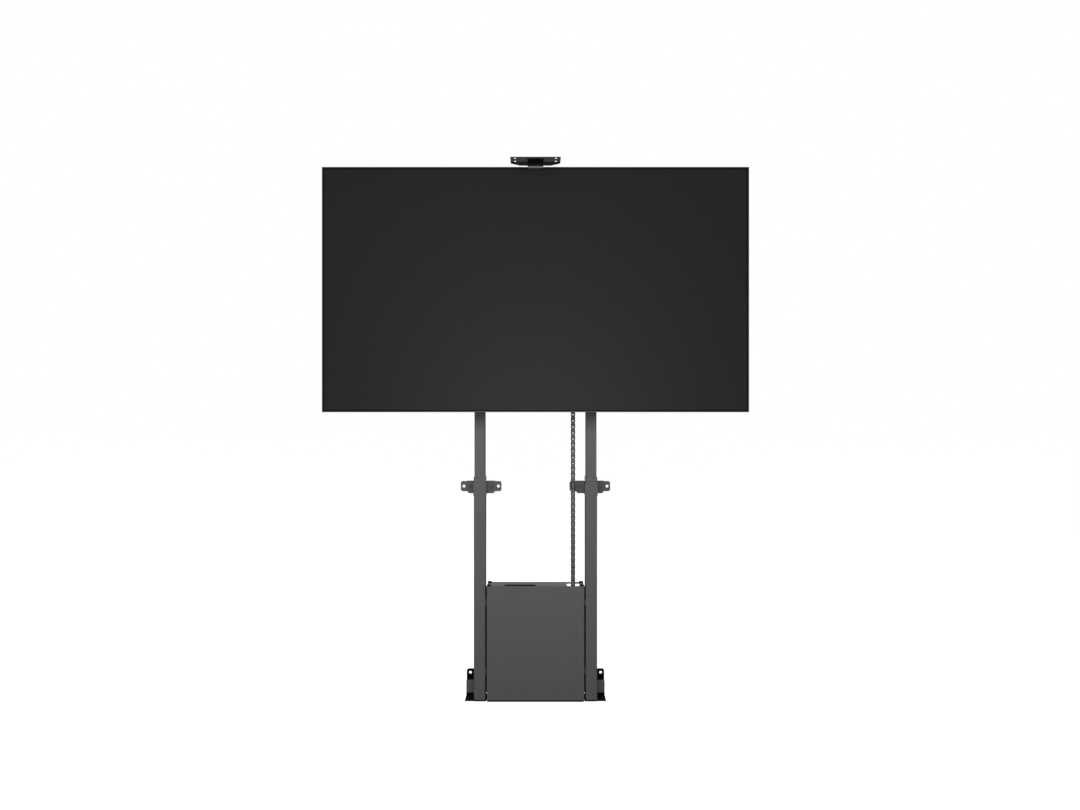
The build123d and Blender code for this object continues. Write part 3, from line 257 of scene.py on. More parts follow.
# %% Metals
oxide_steel = grained("black_oxide_steel", "2b2b2c", "38383a", 2.5, 0.02, (0.32, 0.42), metallic=0.9)
rolled_steel = grained("rolled_bright_steel", "8d8f92", "a6a8ab", 3.0, 0.02, (0.22, 0.34), metallic=1.0)
zinc_steel = grained("zinc_plated_steel_tube", "8a8c8a", "a9aba8", 6.0, 0.03, (0.3, 0.42), metallic=1.0)
nut_bronze = grained("turned_tin_bronze", "9a7436", "b58b4a", 2.0, 0.02, (0.26, 0.36), metallic=1.0)
cast_zinc = grained("shot_blasted_cast_zinc", "77787a", "8b8c8e", 0.9, 0.08, (0.45, 0.6), metallic=0.9)
print([metal.name for metal in (oxide_steel, rolled_steel, zinc_steel, nut_bronze, cast_zinc)])

# %% [markdown]
# The plastics are black or graphite grey, and gloss and grain tell them apart. Chain links are
# injection-moulded nylon with a dull, slightly mottled face: their bars are grey, and their side plates are
# painted black as the shade on their rounded edges. Collars and glides are acetal, which is waxy. Pads and
# grommets are rubber, which is matt, and the same black rubber makes the plugs in the floor holes and the
# strip under the cover, which are painted shade.
# The screen's back is a spark-textured moulding.

# %% Plastics and rubber
link_nylon = grained("moulded_nylon_grey", "535354", "5f5f60", 1.2, 0.05, (0.42, 0.55), specular=0.1)
shaded_plate_nylon = grained("moulded_nylon_painted_shade", "1c1c1d", "262627", 1.2, 0.05, (0.42, 0.55), specular=0.1)
collar_acetal = grained("moulded_acetal_graphite", "545456", "5c5c5e", 2.0, 0.03, (0.4, 0.48), specular=0.1)
rubber_and_painted_shade = grained("moulded_nitrile_rubber_and_painted_shade", "070707", "0d0d0d", 1.0, 0.05, (0.7, 0.85), specular=0.0)
back_plastic = grained("spark_textured_abs_black", "1b1b1c", "232324", 1.1, 0.1, (0.48, 0.6), specular=0.4)
port_plastic = grained("moulded_pbt_socket", "0b0b0c", "121213", 1.5, 0.02, (0.3, 0.4), specular=0.4)
box_plastic = grained("moulded_abs_box", "1f1f20", "28282a", 1.3, 0.08, (0.5, 0.62), specular=0.35)
print([resin.name for resin in (link_nylon, shaded_plate_nylon, collar_acetal, rubber_and_painted_shade, back_plastic)])
print(port_plastic.name, box_plastic.name)

# %% [markdown]
# The frame round the screen is extruded aluminium, brushed from side to side and anodised dark grey.
# Brushing leaves fine scratches that run one way. They come from a noise that is squeezed hard across
# the scratch and left long along it. The same noise sets the tint, the gloss and the relief.
# Real scratches are finer than a tenth of a millimetre, so they are drawn at 0.8 mm to show at all.

# %% Anodised aluminium
scratch_width = mm(0.8)
scratch_length = mm(60)
scratch_depth = mm(0.05)
scratch_strength = 0.3
scratch_detail = 2.0
brushed_gloss = (0.28, 0.44)
brushed_metallic = 0.9

bezel_metal, bezel_tree = new_material("brushed_anodised_aluminium")
bezel_place = add_node(bezel_tree, "ShaderNodeTexCoord")
stretched = add_node(
    bezel_tree,
    "ShaderNodeMapping",
    values={"Scale": (1 / scratch_length, 1 / scratch_width, 1 / scratch_width)},
    links={"Vector": bezel_place.outputs["Object"]},
)
scratches = add_node(
    bezel_tree,
    "ShaderNodeTexNoise",
    values={"Scale": 1.0, "Detail": scratch_detail},
    links={"Vector": stretched.outputs["Vector"]},
).outputs["Fac"]
add_skin(
    bezel_tree,
    pattern=scratches,
    relief=scratches,
    colours=("2e2f32", "3a3b3e"),
    gloss=brushed_gloss,
    bump_values={"Strength": scratch_strength, "Distance": scratch_depth},
    shader_values={"Metallic": brushed_metallic},
)
print(bezel_metal.name)

# %% [markdown]
# The screen is switched off: a sheet of glass with an etched anti-glare coat over a black panel.
# The coat scatters reflections into a soft grey glow, so the shader needs a broad, weak gloss over
# a nearly black colour. A very fine sparkle of grains is what the etching leaves.

# %% Anti-glare glass
glass_coat = grained(
    "etched_anti_glare_glass",
    "0c0c0d",
    "101011",
    grain=2.2,
    depth=0.02,
    gloss=(0.42, 0.45),
    mottle=30.0,
    ior=1.27,
)
print(glass_coat.name)

# %% [markdown]
# Each CAD node now gets the finish of its real piece. The dictionary below is the painter's list:
# anything not named in it would stay unfinished, so the last line checks that nothing was forgotten.

# %% Finishes for the CAD nodes
finishes = {
    graphite_coat: [
        "left_outer_tube", "right_outer_tube", "left_inner_tube", "right_inner_tube", "left_wall_plate",
        "right_wall_plate", "left_wall_strap", "right_wall_strap", "left_head_clamp", "right_head_clamp",
        "head_beam", "left_upright", "right_upright", "upper_rail", "lower_rail", "front_cover",
        "cover_hangers", "rear_tie_plate", "chain_arm", "chain_anchor",
        "left_hook_strip", "right_hook_strip", "left_foot_bracket", "right_foot_bracket", "camera_post",
        "camera_shelf",
    ],
    # Black on the base plates is painted shade that gives the dark line at the feet of the columns. The
    # post's guide has a real black coat.
    black_coat_and_painted_shade: ["camera_post_guide", "column_base_plates"],
    oxide_steel: [
        "foot_bolts", "wall_strap_screws", "head_bolts", "rail_bolts", "tie_plate_bolts", "display_bolts",
    ],
    rolled_steel: ["left_spindle", "right_spindle", "spindle_bearings"],
    zinc_steel: ["left_gear_motor", "right_gear_motor"],
    nut_bronze: ["spindle_nuts"],
    cast_zinc: ["motor_mounts", "nut_carriers"],
    link_nylon: ["chain_upper_run", "chain_lower_run", "chain_bend", "chain_fixed_run"],
    collar_acetal: ["glide_collars", "lower_glides", "column_caps"],
    rubber_and_painted_shade: ["cover_pads", "cable_grommet", "clamp_knob"],
    back_plastic: ["display_back_cover", "display_terminal_panel"],
    box_plastic: ["control_box", "control_box_lid", "mains_inlet"],
    bezel_metal: ["display_bezel"],
    glass_coat: ["display_glass"],
}
for finish, names in finishes.items():
    for name in names:
        cad_nodes[name].data.materials.clear()
        cad_nodes[name].data.materials.append(finish)
painted = [name for names in finishes.values() for name in names]
print("painted", len(painted), "left over", sorted(set(cad_nodes) - set(painted)))

# %% [markdown]
# A new mesh becomes a part of the lift when it rides on one of the moving bodies of the CAD model. Where it
# stands for solids, it also says which nodes it replaces.

# %% Showing a piece
def show_piece(mesh, name, body, replaced=()):
    piece = bpy.data.objects.new(name, mesh)
    bpy.context.scene.collection.objects.link(piece)
    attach(piece, body)
    if replaced:
        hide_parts(*replaced)
    return piece


# %% [markdown]
# Folded and sawn metal never has a razor edge: a press brake leaves a small radius and the powder rounds
# it further, and that radius is what catches the light. The solids have sharp edges, so each such piece
# is shown by a copy. Its loose triangles are merged, flat faces are joined up, and a Bevel modifier
# rounds the edges by a real amount. A Weighted Normal modifier then keeps the big faces flat, so that only
# the rounding shades softly. The copy replaces the node and rides on the same body.

# %% Rounded copies of sharp pieces
merge_distance = mm(0.005)
flat_angle = math.radians(0.5)
edge_angle = math.radians(35)
rounding_steps = 2
flat_face_weight = 100


def round_edges(piece, radius):
    bevel = piece.modifiers.new("rounded_edges", "BEVEL")
    bevel.width = mm(radius)
    bevel.segments = rounding_steps
    bevel.limit_method = "ANGLE"
    bevel.angle_limit = edge_angle
    return bevel


def rounded_copy(node, radius):
    form = bmesh.new()
    form.from_mesh(cad_nodes[node].data)
    bmesh.ops.remove_doubles(form, verts=form.verts[:], dist=merge_distance)
    bmesh.ops.dissolve_limit(form, angle_limit=flat_angle, verts=form.verts[:], edges=form.edges[:])
    mesh = bpy.data.meshes.new(f"{node}_rounded")
    form.to_mesh(mesh)
    form.free()
    mesh.materials.clear()
    mesh.materials.append(cad_nodes[node].data.materials[0])
    mesh.shade_smooth()
    piece = show_piece(mesh, f"{node}_rounded", node_bodies[node], [node])
    round_edges(piece, radius)
    flat = piece.modifiers.new("flat_faces", "WEIGHTED_NORMAL")
    flat.weight = flat_face_weight
    return piece


print("edges sharper than", round(math.degrees(edge_angle)), "degrees are rounded")

# %% [markdown]
# How round an edge is follows from how the piece is made. Folded sheet is rounded by half a millimetre and
# heavier steel by a little more. Small screws and thin mouldings have less, and the moulded back of the
# screen has the softest edge. The radii are in millimetres.

# %% Edge radii
edge_radii = {
    0.5: [
        "left_foot_bracket", "right_foot_bracket", "left_wall_plate", "right_wall_plate", "rear_tie_plate",
        "camera_post", "camera_shelf", "camera_post_guide", "left_hook_strip", "right_hook_strip",
        "upper_rail", "lower_rail", "left_upright", "right_upright", "chain_arm", "chain_anchor",
        "left_wall_strap", "right_wall_strap", "cover_hangers",
    ],
    0.8: ["left_head_clamp", "right_head_clamp", "head_beam", "column_base_plates", "control_box_lid"],
    0.4: ["front_cover", "display_bezel", "mains_inlet", "control_box", "cable_grommet"],
    0.3: ["wall_strap_screws", "head_bolts", "rail_bolts", "display_bolts", "tie_plate_bolts", "foot_bolts"],
    1.2: ["display_back_cover", "display_terminal_panel"],
}
copies = {name: rounded_copy(name, radius) for radius, names in edge_radii.items() for name in names}
print("rounded", len(copies))

# %% [markdown]
# A few pieces get black faces that are painted shade. The copy is cut along a plane wherever the painted
# shade ends, and each face is then picked by where its middle lies.

# %% Painted shade in black
cut_slack = mm(0.001)


def paint_shade_black(piece, cuts, chosen):
    form = bmesh.new()
    form.from_mesh(piece.data)
    for axis, place in cuts:
        parts = form.verts[:] + form.edges[:] + form.faces[:]
        normal = Vector([float(at == axis) for at in range(3)])
        bmesh.ops.bisect_plane(form, geom=parts, plane_co=normal * place, plane_no=normal, dist=cut_slack)
    faces = [face for face in form.faces if chosen(face.calc_center_median())]
    for face in faces:
        face.material_index = 1
    form.to_mesh(piece.data)
    form.free()
    piece.data.materials.append(black_coat_and_painted_shade)
    print(piece.name, "black faces", len(faces))


print("second coat", black_coat_and_painted_shade.name)

# %% [markdown]
# On each foot the ear and the floor flange are painted black as shade, and the web and the ledge over the
# skirting are graphite. The camera post is painted black as shade under the shelf, down to the lip that grips
# the screen. The shelf is painted black as shade too, apart from a grey band under its front half. The
# screen's frame has its inner lip round the glass painted black, as the shade in the groove between frame and
# glass.

# %% Pieces with painted shade
flange_top = mm(12)
ear_bottom = mm(58.5)
lip_top = mm(2142)
tongue_back = mm(-144)
bezel_band = mm(4.6)
bezel_face_depth = mm(0.5)
bezel_low, bezel_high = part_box("display_bezel")
lip_front = bezel_low.y + bezel_face_depth
shelf_low, shelf_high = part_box("camera_shelf")
shelf_skin = mm(0.3)
shelf_under = shelf_low.z + shelf_skin
band_back = (shelf_low.y + shelf_high.y) / 2


def on_shaded_inner_lip(at):
    aside = bezel_low.x + bezel_band < at.x < bezel_high.x - bezel_band
    return aside and bezel_low.z + bezel_band < at.z < bezel_high.z - bezel_band and at.y < lip_front


# The ears and floor flanges of the feet are painted black as shade.
for side_name in ("left", "right"):
    foot = copies[f"{side_name}_foot_bracket"]
    paint_shade_black(foot, [(2, flange_top)], lambda at: at.z < flange_top or at.z > ear_bottom)
# Black on the post under the shelf is painted shade.
paint_shade_black(copies["camera_post"], [(2, lip_top)], lambda at: at.y < tongue_back and at.z > lip_top)
# Black on the frame's inner lip is painted shade, for the groove between frame and glass.
bezel_edges = ((bezel_low, bezel_band), (bezel_high, -bezel_band))
lip_cuts = [(axis, edge[axis] + step) for edge, step in bezel_edges for axis in (0, 2)]
paint_shade_black(copies["display_bezel"], lip_cuts, on_shaded_inner_lip)
# Black on the shelf, apart from the grey band under its front half, is painted shade.
paint_shade_black(copies["camera_shelf"], [(1, band_back)], lambda at: at.z > shelf_under or at.y > band_back)

# %% [markdown]
# New pieces start from a few small helpers, which all work on a bmesh. The first is a block between two
# corners, such as a bar or a plate. Its edges can be bevelled to a quarter circle.

# %% Blocks
round_profile = 0.5


def bevel_edges(form, edges, radius, segments):
    bmesh.ops.bevel(
        form,
        geom=edges,
        offset=radius,
        segments=segments,
        affect="EDGES",
        profile=round_profile,
        material=-1,
    )


def add_block(form, low, high, radius=0.0, segments=2):
    size = [high[axis] - low[axis] for axis in range(3)]
    middle = [(high[axis] + low[axis]) / 2 for axis in range(3)]
    matrix = Matrix.Translation(Vector(middle)) @ Matrix.Diagonal((*size, 1))
    made = bmesh.ops.create_cube(form, size=1.0, matrix=matrix)
    if radius:
        edges = {edge for vert in made["verts"] for edge in vert.link_edges}
        bevel_edges(form, list(edges), radius, segments)


print("blocks ready")

# %% [markdown]
# Washers, pins and round sockets are turned pieces. Their profile is a small rectangle beside the axis, and
# the Spin operator sweeps it once round. The rectangle starts square to the axis, whichever way that lies.

# %% Rings
upright_share = 0.5


def add_ring(form, centre, axis, inner, outer, low, high, sides=32):
    along = Vector(axis)
    across = Vector((0, 0, 1)) if abs(along.z) < upright_share else Vector((1, 0, 0))
    centre = Vector(centre)
    corners = [(inner, low), (outer, low), (outer, high), (inner, high)]
    verts = [form.verts.new(centre + across * radius + along * height) for radius, height in corners]
    edges = [form.edges.new((verts[at], verts[(at + 1) % 4])) for at in range(4)]
    bmesh.ops.spin(
        form,
        geom=verts + edges,
        cent=centre,
        axis=along,
        angle=math.tau,
        steps=sides,
        use_merge=True,
    )


print("rings ready")

# %% [markdown]
# The last helper turns a form into an object: it welds doubled points, turns the faces outwards, gives the
# mesh its coats and shades it smooth, apart from its real edges.

# %% Finished pieces
weld_distance = mm(0.001)


def finished(form, name, body, finish, replaced=(), edge_radius=0.0):
    bmesh.ops.remove_doubles(form, verts=form.verts[:], dist=weld_distance)
    bmesh.ops.recalc_face_normals(form, faces=form.faces[:])
    mesh = bpy.data.meshes.new(name)
    form.to_mesh(mesh)
    form.free()
    for coat in finish if isinstance(finish, list) else [finish]:
        mesh.materials.append(coat)
    mesh.shade_smooth()
    mesh.set_sharp_from_angle(angle=edge_angle)
    piece = show_piece(mesh, name, body, replaced)
    if edge_radius:
        bevel = round_edges(piece, edge_radius)
        bevel.harden_normals = True
    print(name, "faces", len(mesh.polygons))
    return piece


print("form helpers ready")

# %% [markdown]
# The cable chain is a row of moulded links. Each link has two side plates: the lower end of a plate sits
# outside its neighbour and the upper end inside, on a snap pin, which gives the chain its slightly wavy
# outline. A front and a back bar join the plates, and short tabs leave a small window between two links.
# Width and depth come from the solids, and the rest are usual sizes of such chains.

# %% Sizes of a chain link
chain_low, chain_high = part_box("chain_upper_run")
lower_low, lower_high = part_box("chain_lower_run")
chain_x = (chain_low.x + chain_high.x) / 2
chain_width = chain_high.x - chain_low.x
chain_depth = chain_high.y - chain_low.y
chain_pitch = mm(25)
plate_thickness = mm(3.4)
plate_step = mm(1)
plate_gap = mm(0.2)
plate_end_step = mm(1)
plate_overlap_low = mm(1.5)
plate_overlap_high = mm(2)
bar_thickness = mm(2)
bar_height = mm(21)
window_width = mm(6)
tab_gap = mm(0.2)
tab_height = mm(2.4)
pin_radius = mm(3)
pin_sides = 16
print("link", [round(side / MILLIMETRE, 1) for side in (chain_width, chain_depth, chain_pitch)], "mm")

# %% [markdown]
# A plate with its pin is built at the link's own origin. The link is then plates, bars and tabs, moved to
# its height in the chain. One function does this, and each run calls it once per pitch of the chain.

# %% One chain link
def add_side_plate(form, side, inset, low, high, pivot):
    outer = chain_width / 2 - inset
    inner = outer - plate_thickness
    half = chain_depth / 2 - bar_thickness / 2
    ends = sorted((side * inner, side * outer))
    add_block(form, (ends[0], -half, low), (ends[1], half, high), radius=plate_thickness / 3, segments=1)
    pin_end = outer + plate_gap / 2
    add_ring(form, (0, 0, pivot), (side, 0, 0), pin_radius / 3, pin_radius, inner, pin_end, sides=pin_sides)


def add_link(form, bottom):
    known = set(form.verts)
    known_faces = set(form.faces)
    reach = chain_depth / 2 - plate_end_step
    low_end = chain_pitch / 2 + plate_overlap_low
    high_start = chain_pitch / 2 - plate_overlap_high
    for side in (-1, 1):
        add_side_plate(form, side, plate_gap / 2, -reach / 2, low_end, 0)
        add_side_plate(form, side, plate_step, high_start, chain_pitch + reach / 2, chain_pitch)
    # The side plates take the black nylon, which is painted shade.
    for face in set(form.faces) - known_faces:
        face.material_index = 1
    bar_low = (chain_pitch - bar_height) / 2
    bar_half = chain_width / 2 - plate_thickness
    for side in (-1, 1):
        faces = sorted((side * chain_depth / 2, side * (chain_depth / 2 - bar_thickness)))
        add_block(
            form,
            (-bar_half, faces[0], bar_low),
            (bar_half, faces[1], bar_low + bar_height),
            radius=bar_thickness / 4,
        )
        for edge_side in (-1, 1):
            tabs = sorted((edge_side * window_width / 2, edge_side * bar_half))
            for low in (tab_gap, chain_pitch - tab_gap - tab_height):
                tab_low = (tabs[0], faces[0] + tab_gap, low)
                tab_high = (tabs[1], faces[1] - tab_gap, low + tab_height)
                add_block(form, tab_low, tab_high, radius=tab_gap, segments=1)
    fresh = [vert for vert in form.verts if vert not in known]
    bmesh.ops.translate(form, verts=fresh, vec=(chain_x, (chain_low.y + chain_high.y) / 2, bottom))


probe = bmesh.new()
add_link(probe, 0)
print("corners in a link", len(probe.verts))
probe.free()

# %% [markdown]
# The upper run travels with the carriage. The lower run shortens as the carriage comes down, because its
# links roll off round the bend, so its mesh flattens just over the joint with the upper run, clear of
# the bend. Both are hidden inside the cover by then.

# %% Moving runs of the chain
upper_links = round((chain_high.z - chain_low.z) / chain_pitch)
lower_links = round((lower_high.z - lower_low.z) / chain_pitch)
chain_join = lower_low.z + lower_links * chain_pitch


def finished_chain(form, name, body, node):
    return finished(form, name, body, [link_nylon, shaded_plate_nylon], [node])


upper_form = bmesh.new()
for index in range(upper_links):
    add_link(upper_form, chain_join + index * chain_pitch)
finished_chain(upper_form, "chain_upper_links", "carriage", "chain_upper_run")
lower_form = bmesh.new()
for index in range(lower_links):
    add_link(lower_form, chain_join - (index + 1) * chain_pitch)
lower_run = finished_chain(lower_form, "chain_lower_links", "carriage", "chain_lower_run")
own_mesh(lower_run)
print("links", upper_links, lower_links)

# %% [markdown]
# The fixed run is the other way round: it is one link long while the lift is up, and fourteen links long
# when it is down. A blend between the base and the rolling bend can stretch a mesh. So the fourteen links
# are packed into the height of one, where the cover and the back plate hide them. Each point is put
# where the blend's smooth curve carries it to its right height once the lift is down.

# %% Fixed run of the chain
fixed_low, fixed_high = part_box("chain_fixed_run")
roll_travel = mm(325)
fixed_links = round((fixed_high.z - fixed_low.z + roll_travel) / chain_pitch)
fixed_top = lower_low.z + chain_pitch
fixed_bottom = lower_low.z
halvings = 24


def packed_height(drop, length):
    near, far = 0.0, 1.0
    for _ in range(halvings):
        share = (near + far) / 2
        carried = share * length + share * share * (3 - 2 * share) * roll_travel
        near, far = (share, far) if carried < drop else (near, share)
    return (near + far) / 2 * length


fixed_form = bmesh.new()
for index in range(fixed_links):
    add_link(fixed_form, -(index + 1) * chain_pitch)
fixed_middle = (fixed_low.y + fixed_high.y) / 2
shift_back = fixed_middle - (chain_low.y + chain_high.y) / 2
bmesh.ops.translate(fixed_form, verts=fixed_form.verts[:], vec=(0, shift_back, 0))
for vert in fixed_form.verts:
    drop = min(max(-vert.co.z, 0.0), fixed_links * chain_pitch)
    vert.co.z = fixed_top - packed_height(drop, fixed_top - fixed_bottom)
fixed_run = finished_chain(fixed_form, "chain_fixed_links", "base", "chain_fixed_run")
fixed_run.parent = None
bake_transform(fixed_run)
print("fixed links", fixed_links)

# %% [markdown]
# A thin washer lies under each strap screw. It spreads the load on the coated strap, and from in front it
# is the dark ring round each head. A short profile spun round the screw's axis makes it.

# %% Washers under the strap screws
screw_low, screw_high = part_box("wall_strap_screws")
washer_inner = mm(4.9)
washer_outer = mm(7.5)
washer_thickness = mm(1.2)
screw_head = mm(3.6)
strap_screw_spread = mm(90)
column_spacing = mm(454)
washer_seat = screw_low.y + screw_head
screw_height = (screw_low.z + screw_high.z) / 2
washers = bmesh.new()
for column in (-1, 1):
    for end in (-1, 1):
        centre = (column * column_spacing / 2 + end * strap_screw_spread / 2, washer_seat, screw_height)
        add_ring(washers, centre, (0, -1, 0), washer_inner, washer_outer, 0, washer_thickness)
finished(washers, "strap_washers", "base", oxide_steel, edge_radius=0.2)

# %% [markdown]
# A black rubber strip on the lower edge of the cover's front and sides is painted shade: it stands for the
# dark slit of shade between the cover and the floor. It leaves a hair's gap over the floor, and lifts off
# with the cover.

# %% Painted shade strip under the cover
panel_box_low, panel_box_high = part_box("front_cover")
shade_strip_width = mm(3)
shade_strip_lift = mm(0.6)
shade_strip_depth = mm(70)
shade_strip_inset = mm(0.5)
shade_strip_radius = mm(0.5)
shade_strip_left, shade_strip_right = panel_box_low.x + shade_strip_inset, panel_box_high.x - shade_strip_inset
shade_strip_front = panel_box_low.y + shade_strip_inset
shade_strips = [
    (shade_strip_left, shade_strip_right, shade_strip_width),
    (shade_strip_left, shade_strip_left + shade_strip_width, shade_strip_depth),
    (shade_strip_right - shade_strip_width, shade_strip_right, shade_strip_depth),
]
shade_strip = bmesh.new()
for near, far, depth in shade_strips:
    add_block(shade_strip, (near, shade_strip_front, shade_strip_lift), (far, shade_strip_front + depth, panel_box_low.z), shade_strip_radius)
finished(shade_strip, "cover_shade_strip", "cover", rubber_and_painted_shade)

# %% [markdown]
# The holes in the floor flanges look dark in the picture, unlike the open holes in the ears. So each is
# closed by a low black rubber plug, which is painted shade: it stands for the shade on the floor inside the
# hole. A plug is two short cones, one on the other: the stem fills the hole, and the wider head lies on the
# flange. Each is given by its lower and upper radius and its lower and upper height.

# %% Painted shade plugs in the floor holes
floor_hole_spacing = mm(534)
plug_sides = 28
plug_stem = (mm(5.8), mm(5.8), mm(0.4), mm(3.05))
plug_head = (mm(7.4), mm(6.2), mm(3.05), mm(4.2))
painted_shade_plugs = bmesh.new()
for side in (-1, 1):
    for wide, narrow, low, high in (plug_stem, plug_head):
        bmesh.ops.create_cone(
            painted_shade_plugs,
            cap_ends=True,
            segments=plug_sides,
            radius1=wide,
            radius2=narrow,
            depth=high - low,
            matrix=Matrix.Translation((side * floor_hole_spacing / 2, 0, (low + high) / 2)),
        )
finished(painted_shade_plugs, "floor_hole_shade_plugs", "base", rubber_and_painted_shade)

# %% [markdown]
# The back of the screen has louvred vents above and below, where warm air leaves the electronics.
# Each vent is a grid whose cells are inset one by one and pushed in, which cuts a row of slots into a
# thin panel. The grid's rim is then drawn back to the cover so that the panel is closed.

# %% Vents on the screen's back
cover_low, cover_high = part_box("display_back_cover")
vent_proud = mm(1.2)
vent_slot_depth = mm(1.0)
vent_bar = mm(2.2)
vent_height = mm(46)
vent_width = mm(400)
vent_columns = 10
vent_rows = 5
vent_offset = mm(340)
vent_heights = [mm(1940), mm(1372)]


def add_vent(form, x, z):
    known = set(form.verts)
    placing = (
        Matrix.Translation((x, cover_high.y + vent_proud, z))
        @ Matrix.Rotation(math.radians(-90), 4, "X")
        @ Matrix.Diagonal((vent_width, vent_height, 1, 1))
    )
    bmesh.ops.create_grid(form, x_segments=vent_columns, y_segments=vent_rows, size=0.5, matrix=placing)
    fresh = [vert for vert in form.verts if vert not in known]
    cells = list({face for vert in fresh for face in vert.link_faces})
    rim = list({edge for face in cells for edge in face.edges if edge.is_boundary})
    bmesh.ops.inset_individual(form, faces=cells, thickness=vent_bar, depth=-vent_slot_depth)
    skirt = bmesh.ops.extrude_edge_only(form, edges=rim)["geom"]
    skirt_verts = [part for part in skirt if isinstance(part, bmesh.types.BMVert)]
    skirt_edges = [part for part in skirt if isinstance(part, bmesh.types.BMEdge)]
    bmesh.ops.translate(form, verts=skirt_verts, vec=(0, -vent_proud, 0))
    bmesh.ops.holes_fill(form, edges=skirt_edges, sides=0)


vents = bmesh.new()
for height in vent_heights:
    for side in (-1, 1):
        add_vent(vents, side * vent_offset, height)
finished(vents, "display_vents", "display", back_plastic)

# %% [markdown]
# The terminal panel holds a row of sockets. They are generic: plated shells with a dark tongue inside,
# and two pairs of round jacks. A block whose outer face is inset and pushed in makes a shell.

# %% One socket shell
panel_low, panel_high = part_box("display_terminal_panel")
shell_wall = mm(0.6)
shell_sunk = mm(0.7)
shell_proud = mm(0.6)
shell_floor = mm(0.9)


def add_shell(form, x, z, width, height):
    half = Vector((width / 2, 0, height / 2))
    middle = Vector((x, panel_high.y, z))
    known = set(form.faces)
    add_block(form, middle - half - Vector((0, shell_sunk, 0)), middle + half + Vector((0, shell_proud, 0)))
    fresh = [face for face in form.faces if face not in known]
    outer = max(fresh, key=lambda face: face.calc_center_median().y)
    bmesh.ops.inset_individual(form, faces=[outer], thickness=shell_wall, depth=0)
    bmesh.ops.translate(form, verts=outer.verts[:], vec=(0, -shell_floor, 0))


print("panel", round((panel_high.x - panel_low.x) / MILLIMETRE), "mm wide")

# %% [markdown]
# Six shells and two pairs of jacks stand in one row, evenly spaced about the middle of the panel. The
# widths and heights of the shells are in millimetres, and each tongue takes a third of the width and two
# thirds of the height.

# %% Row of sockets
panel_middle = (panel_low + panel_high) / 2
socket_row = mm(300)
socket_spacing = socket_row / 9
shell_sizes = [(6, 16), (6, 16), (6, 16), (7, 14), (7, 14), (12, 14)]
jack_columns = 2
first_socket = panel_middle.x - (len(shell_sizes) + jack_columns - 1) / 2 * socket_spacing
tongue_sunk = mm(0.4)
tongue_proud = mm(0.3)
jack_outer = mm(4.2)
jack_inner = mm(1.9)
jack_length = mm(1.2)
jack_offset = mm(6.5)
jack_sides = 24
shells = bmesh.new()
tongues = bmesh.new()
for index, (width, height) in enumerate(shell_sizes):
    x = first_socket + index * socket_spacing
    add_shell(shells, x, panel_middle.z, mm(width), mm(height))
    add_block(
        tongues,
        (x - mm(width / 6), panel_high.y - tongue_sunk, panel_middle.z - mm(height / 3)),
        (x + mm(width / 6), panel_high.y + tongue_proud, panel_middle.z + mm(height / 3)),
    )
for index in range(jack_columns):
    x = first_socket + (len(shell_sizes) + index) * socket_spacing
    for step in (-1, 1):
        centre = (x, panel_high.y - shell_sunk, panel_middle.z + step * jack_offset)
        add_ring(shells, centre, (0, 1, 0), jack_inner, jack_outer, 0, jack_length, sides=jack_sides)
finished(shells, "terminal_shells", "display", zinc_steel)
finished(tongues, "terminal_tongues", "display", port_plastic)

# %% [markdown]
# Small screws close the back cover along its upper and lower rim. Each head is a low cone whose crown is
# bevelled in three steps, which gives it a soft shoulder. Two thin dark bars that cross in the crown stand
# for the recess, because it is too small to need real depth.

# %% One cover screw
rim_y = mm(-112)
cover_screw_radius = mm(4.2)
cover_screw_height = mm(1.6)
cover_screw_sides = 20
crown_share = 0.72
crown_radius = mm(0.5)
crown_steps = 3
recess_length = mm(2.4)
recess_width = mm(0.5)
recess_depth = mm(0.5)
recess_proud = mm(0.02)


def add_domed_screw(form, x, z):
    known = set(form.verts)
    placing = Matrix.Translation((x, rim_y + cover_screw_height / 2, z))
    bmesh.ops.create_cone(
        form,
        cap_ends=True,
        cap_tris=False,
        segments=cover_screw_sides,
        radius1=cover_screw_radius,
        radius2=cover_screw_radius * crown_share,
        depth=cover_screw_height,
        matrix=placing @ Matrix.Rotation(math.radians(-90), 4, "X"),
    )
    fresh = [vert for vert in form.verts if vert not in known]
    crown = max({face for vert in fresh for face in vert.link_faces}, key=lambda f: f.calc_center_median().y)
    bevel_edges(form, crown.edges[:], crown_radius, crown_steps)


def add_cross(form, x, z):
    top = rim_y + cover_screw_height
    for long_x, long_z in ((recess_length, recess_width), (recess_width, recess_length)):
        low = (x - long_x, top - recess_depth, z - long_z)
        high = (x + long_x, top + recess_proud, z + long_z)
        add_block(form, low, high)


print("screw head", round(2 * cover_screw_radius / MILLIMETRE, 1), "mm")

# %% [markdown]
# The screws stand in two rows, evenly spaced and one inset away from the cover's outline. All heads are
# one mesh and all recesses another, because they need different finishes.

# %% Rows of cover screws
rim_inset = mm(45)
cover_middle = (cover_low + cover_high) / 2
cover_half = (cover_high - cover_low) / 2
screw_columns = 5
cover_screws = bmesh.new()
crosses = bmesh.new()
for column in range(screw_columns):
    share = 2 * column / (screw_columns - 1) - 1
    for side in (-1, 1):
        x = share * (cover_half.x - rim_inset)
        z = cover_middle.z + side * (cover_half.z - rim_inset)
        add_domed_screw(cover_screws, x, z)
        add_cross(crosses, x, z)
finished(cover_screws, "cover_screws", "display", oxide_steel)
finished(crosses, "cover_screw_recesses", "display", port_plastic)

# %% [markdown]
# The set stands on a plain pale floor in front of nothing. For the camera and for reflections the floor
# and the world are simply white. For the light that falls on the object they are ordinary. The Light Path
# node tells the two apart: its value here is one for rays that see the set and zero for light that
# bounces.

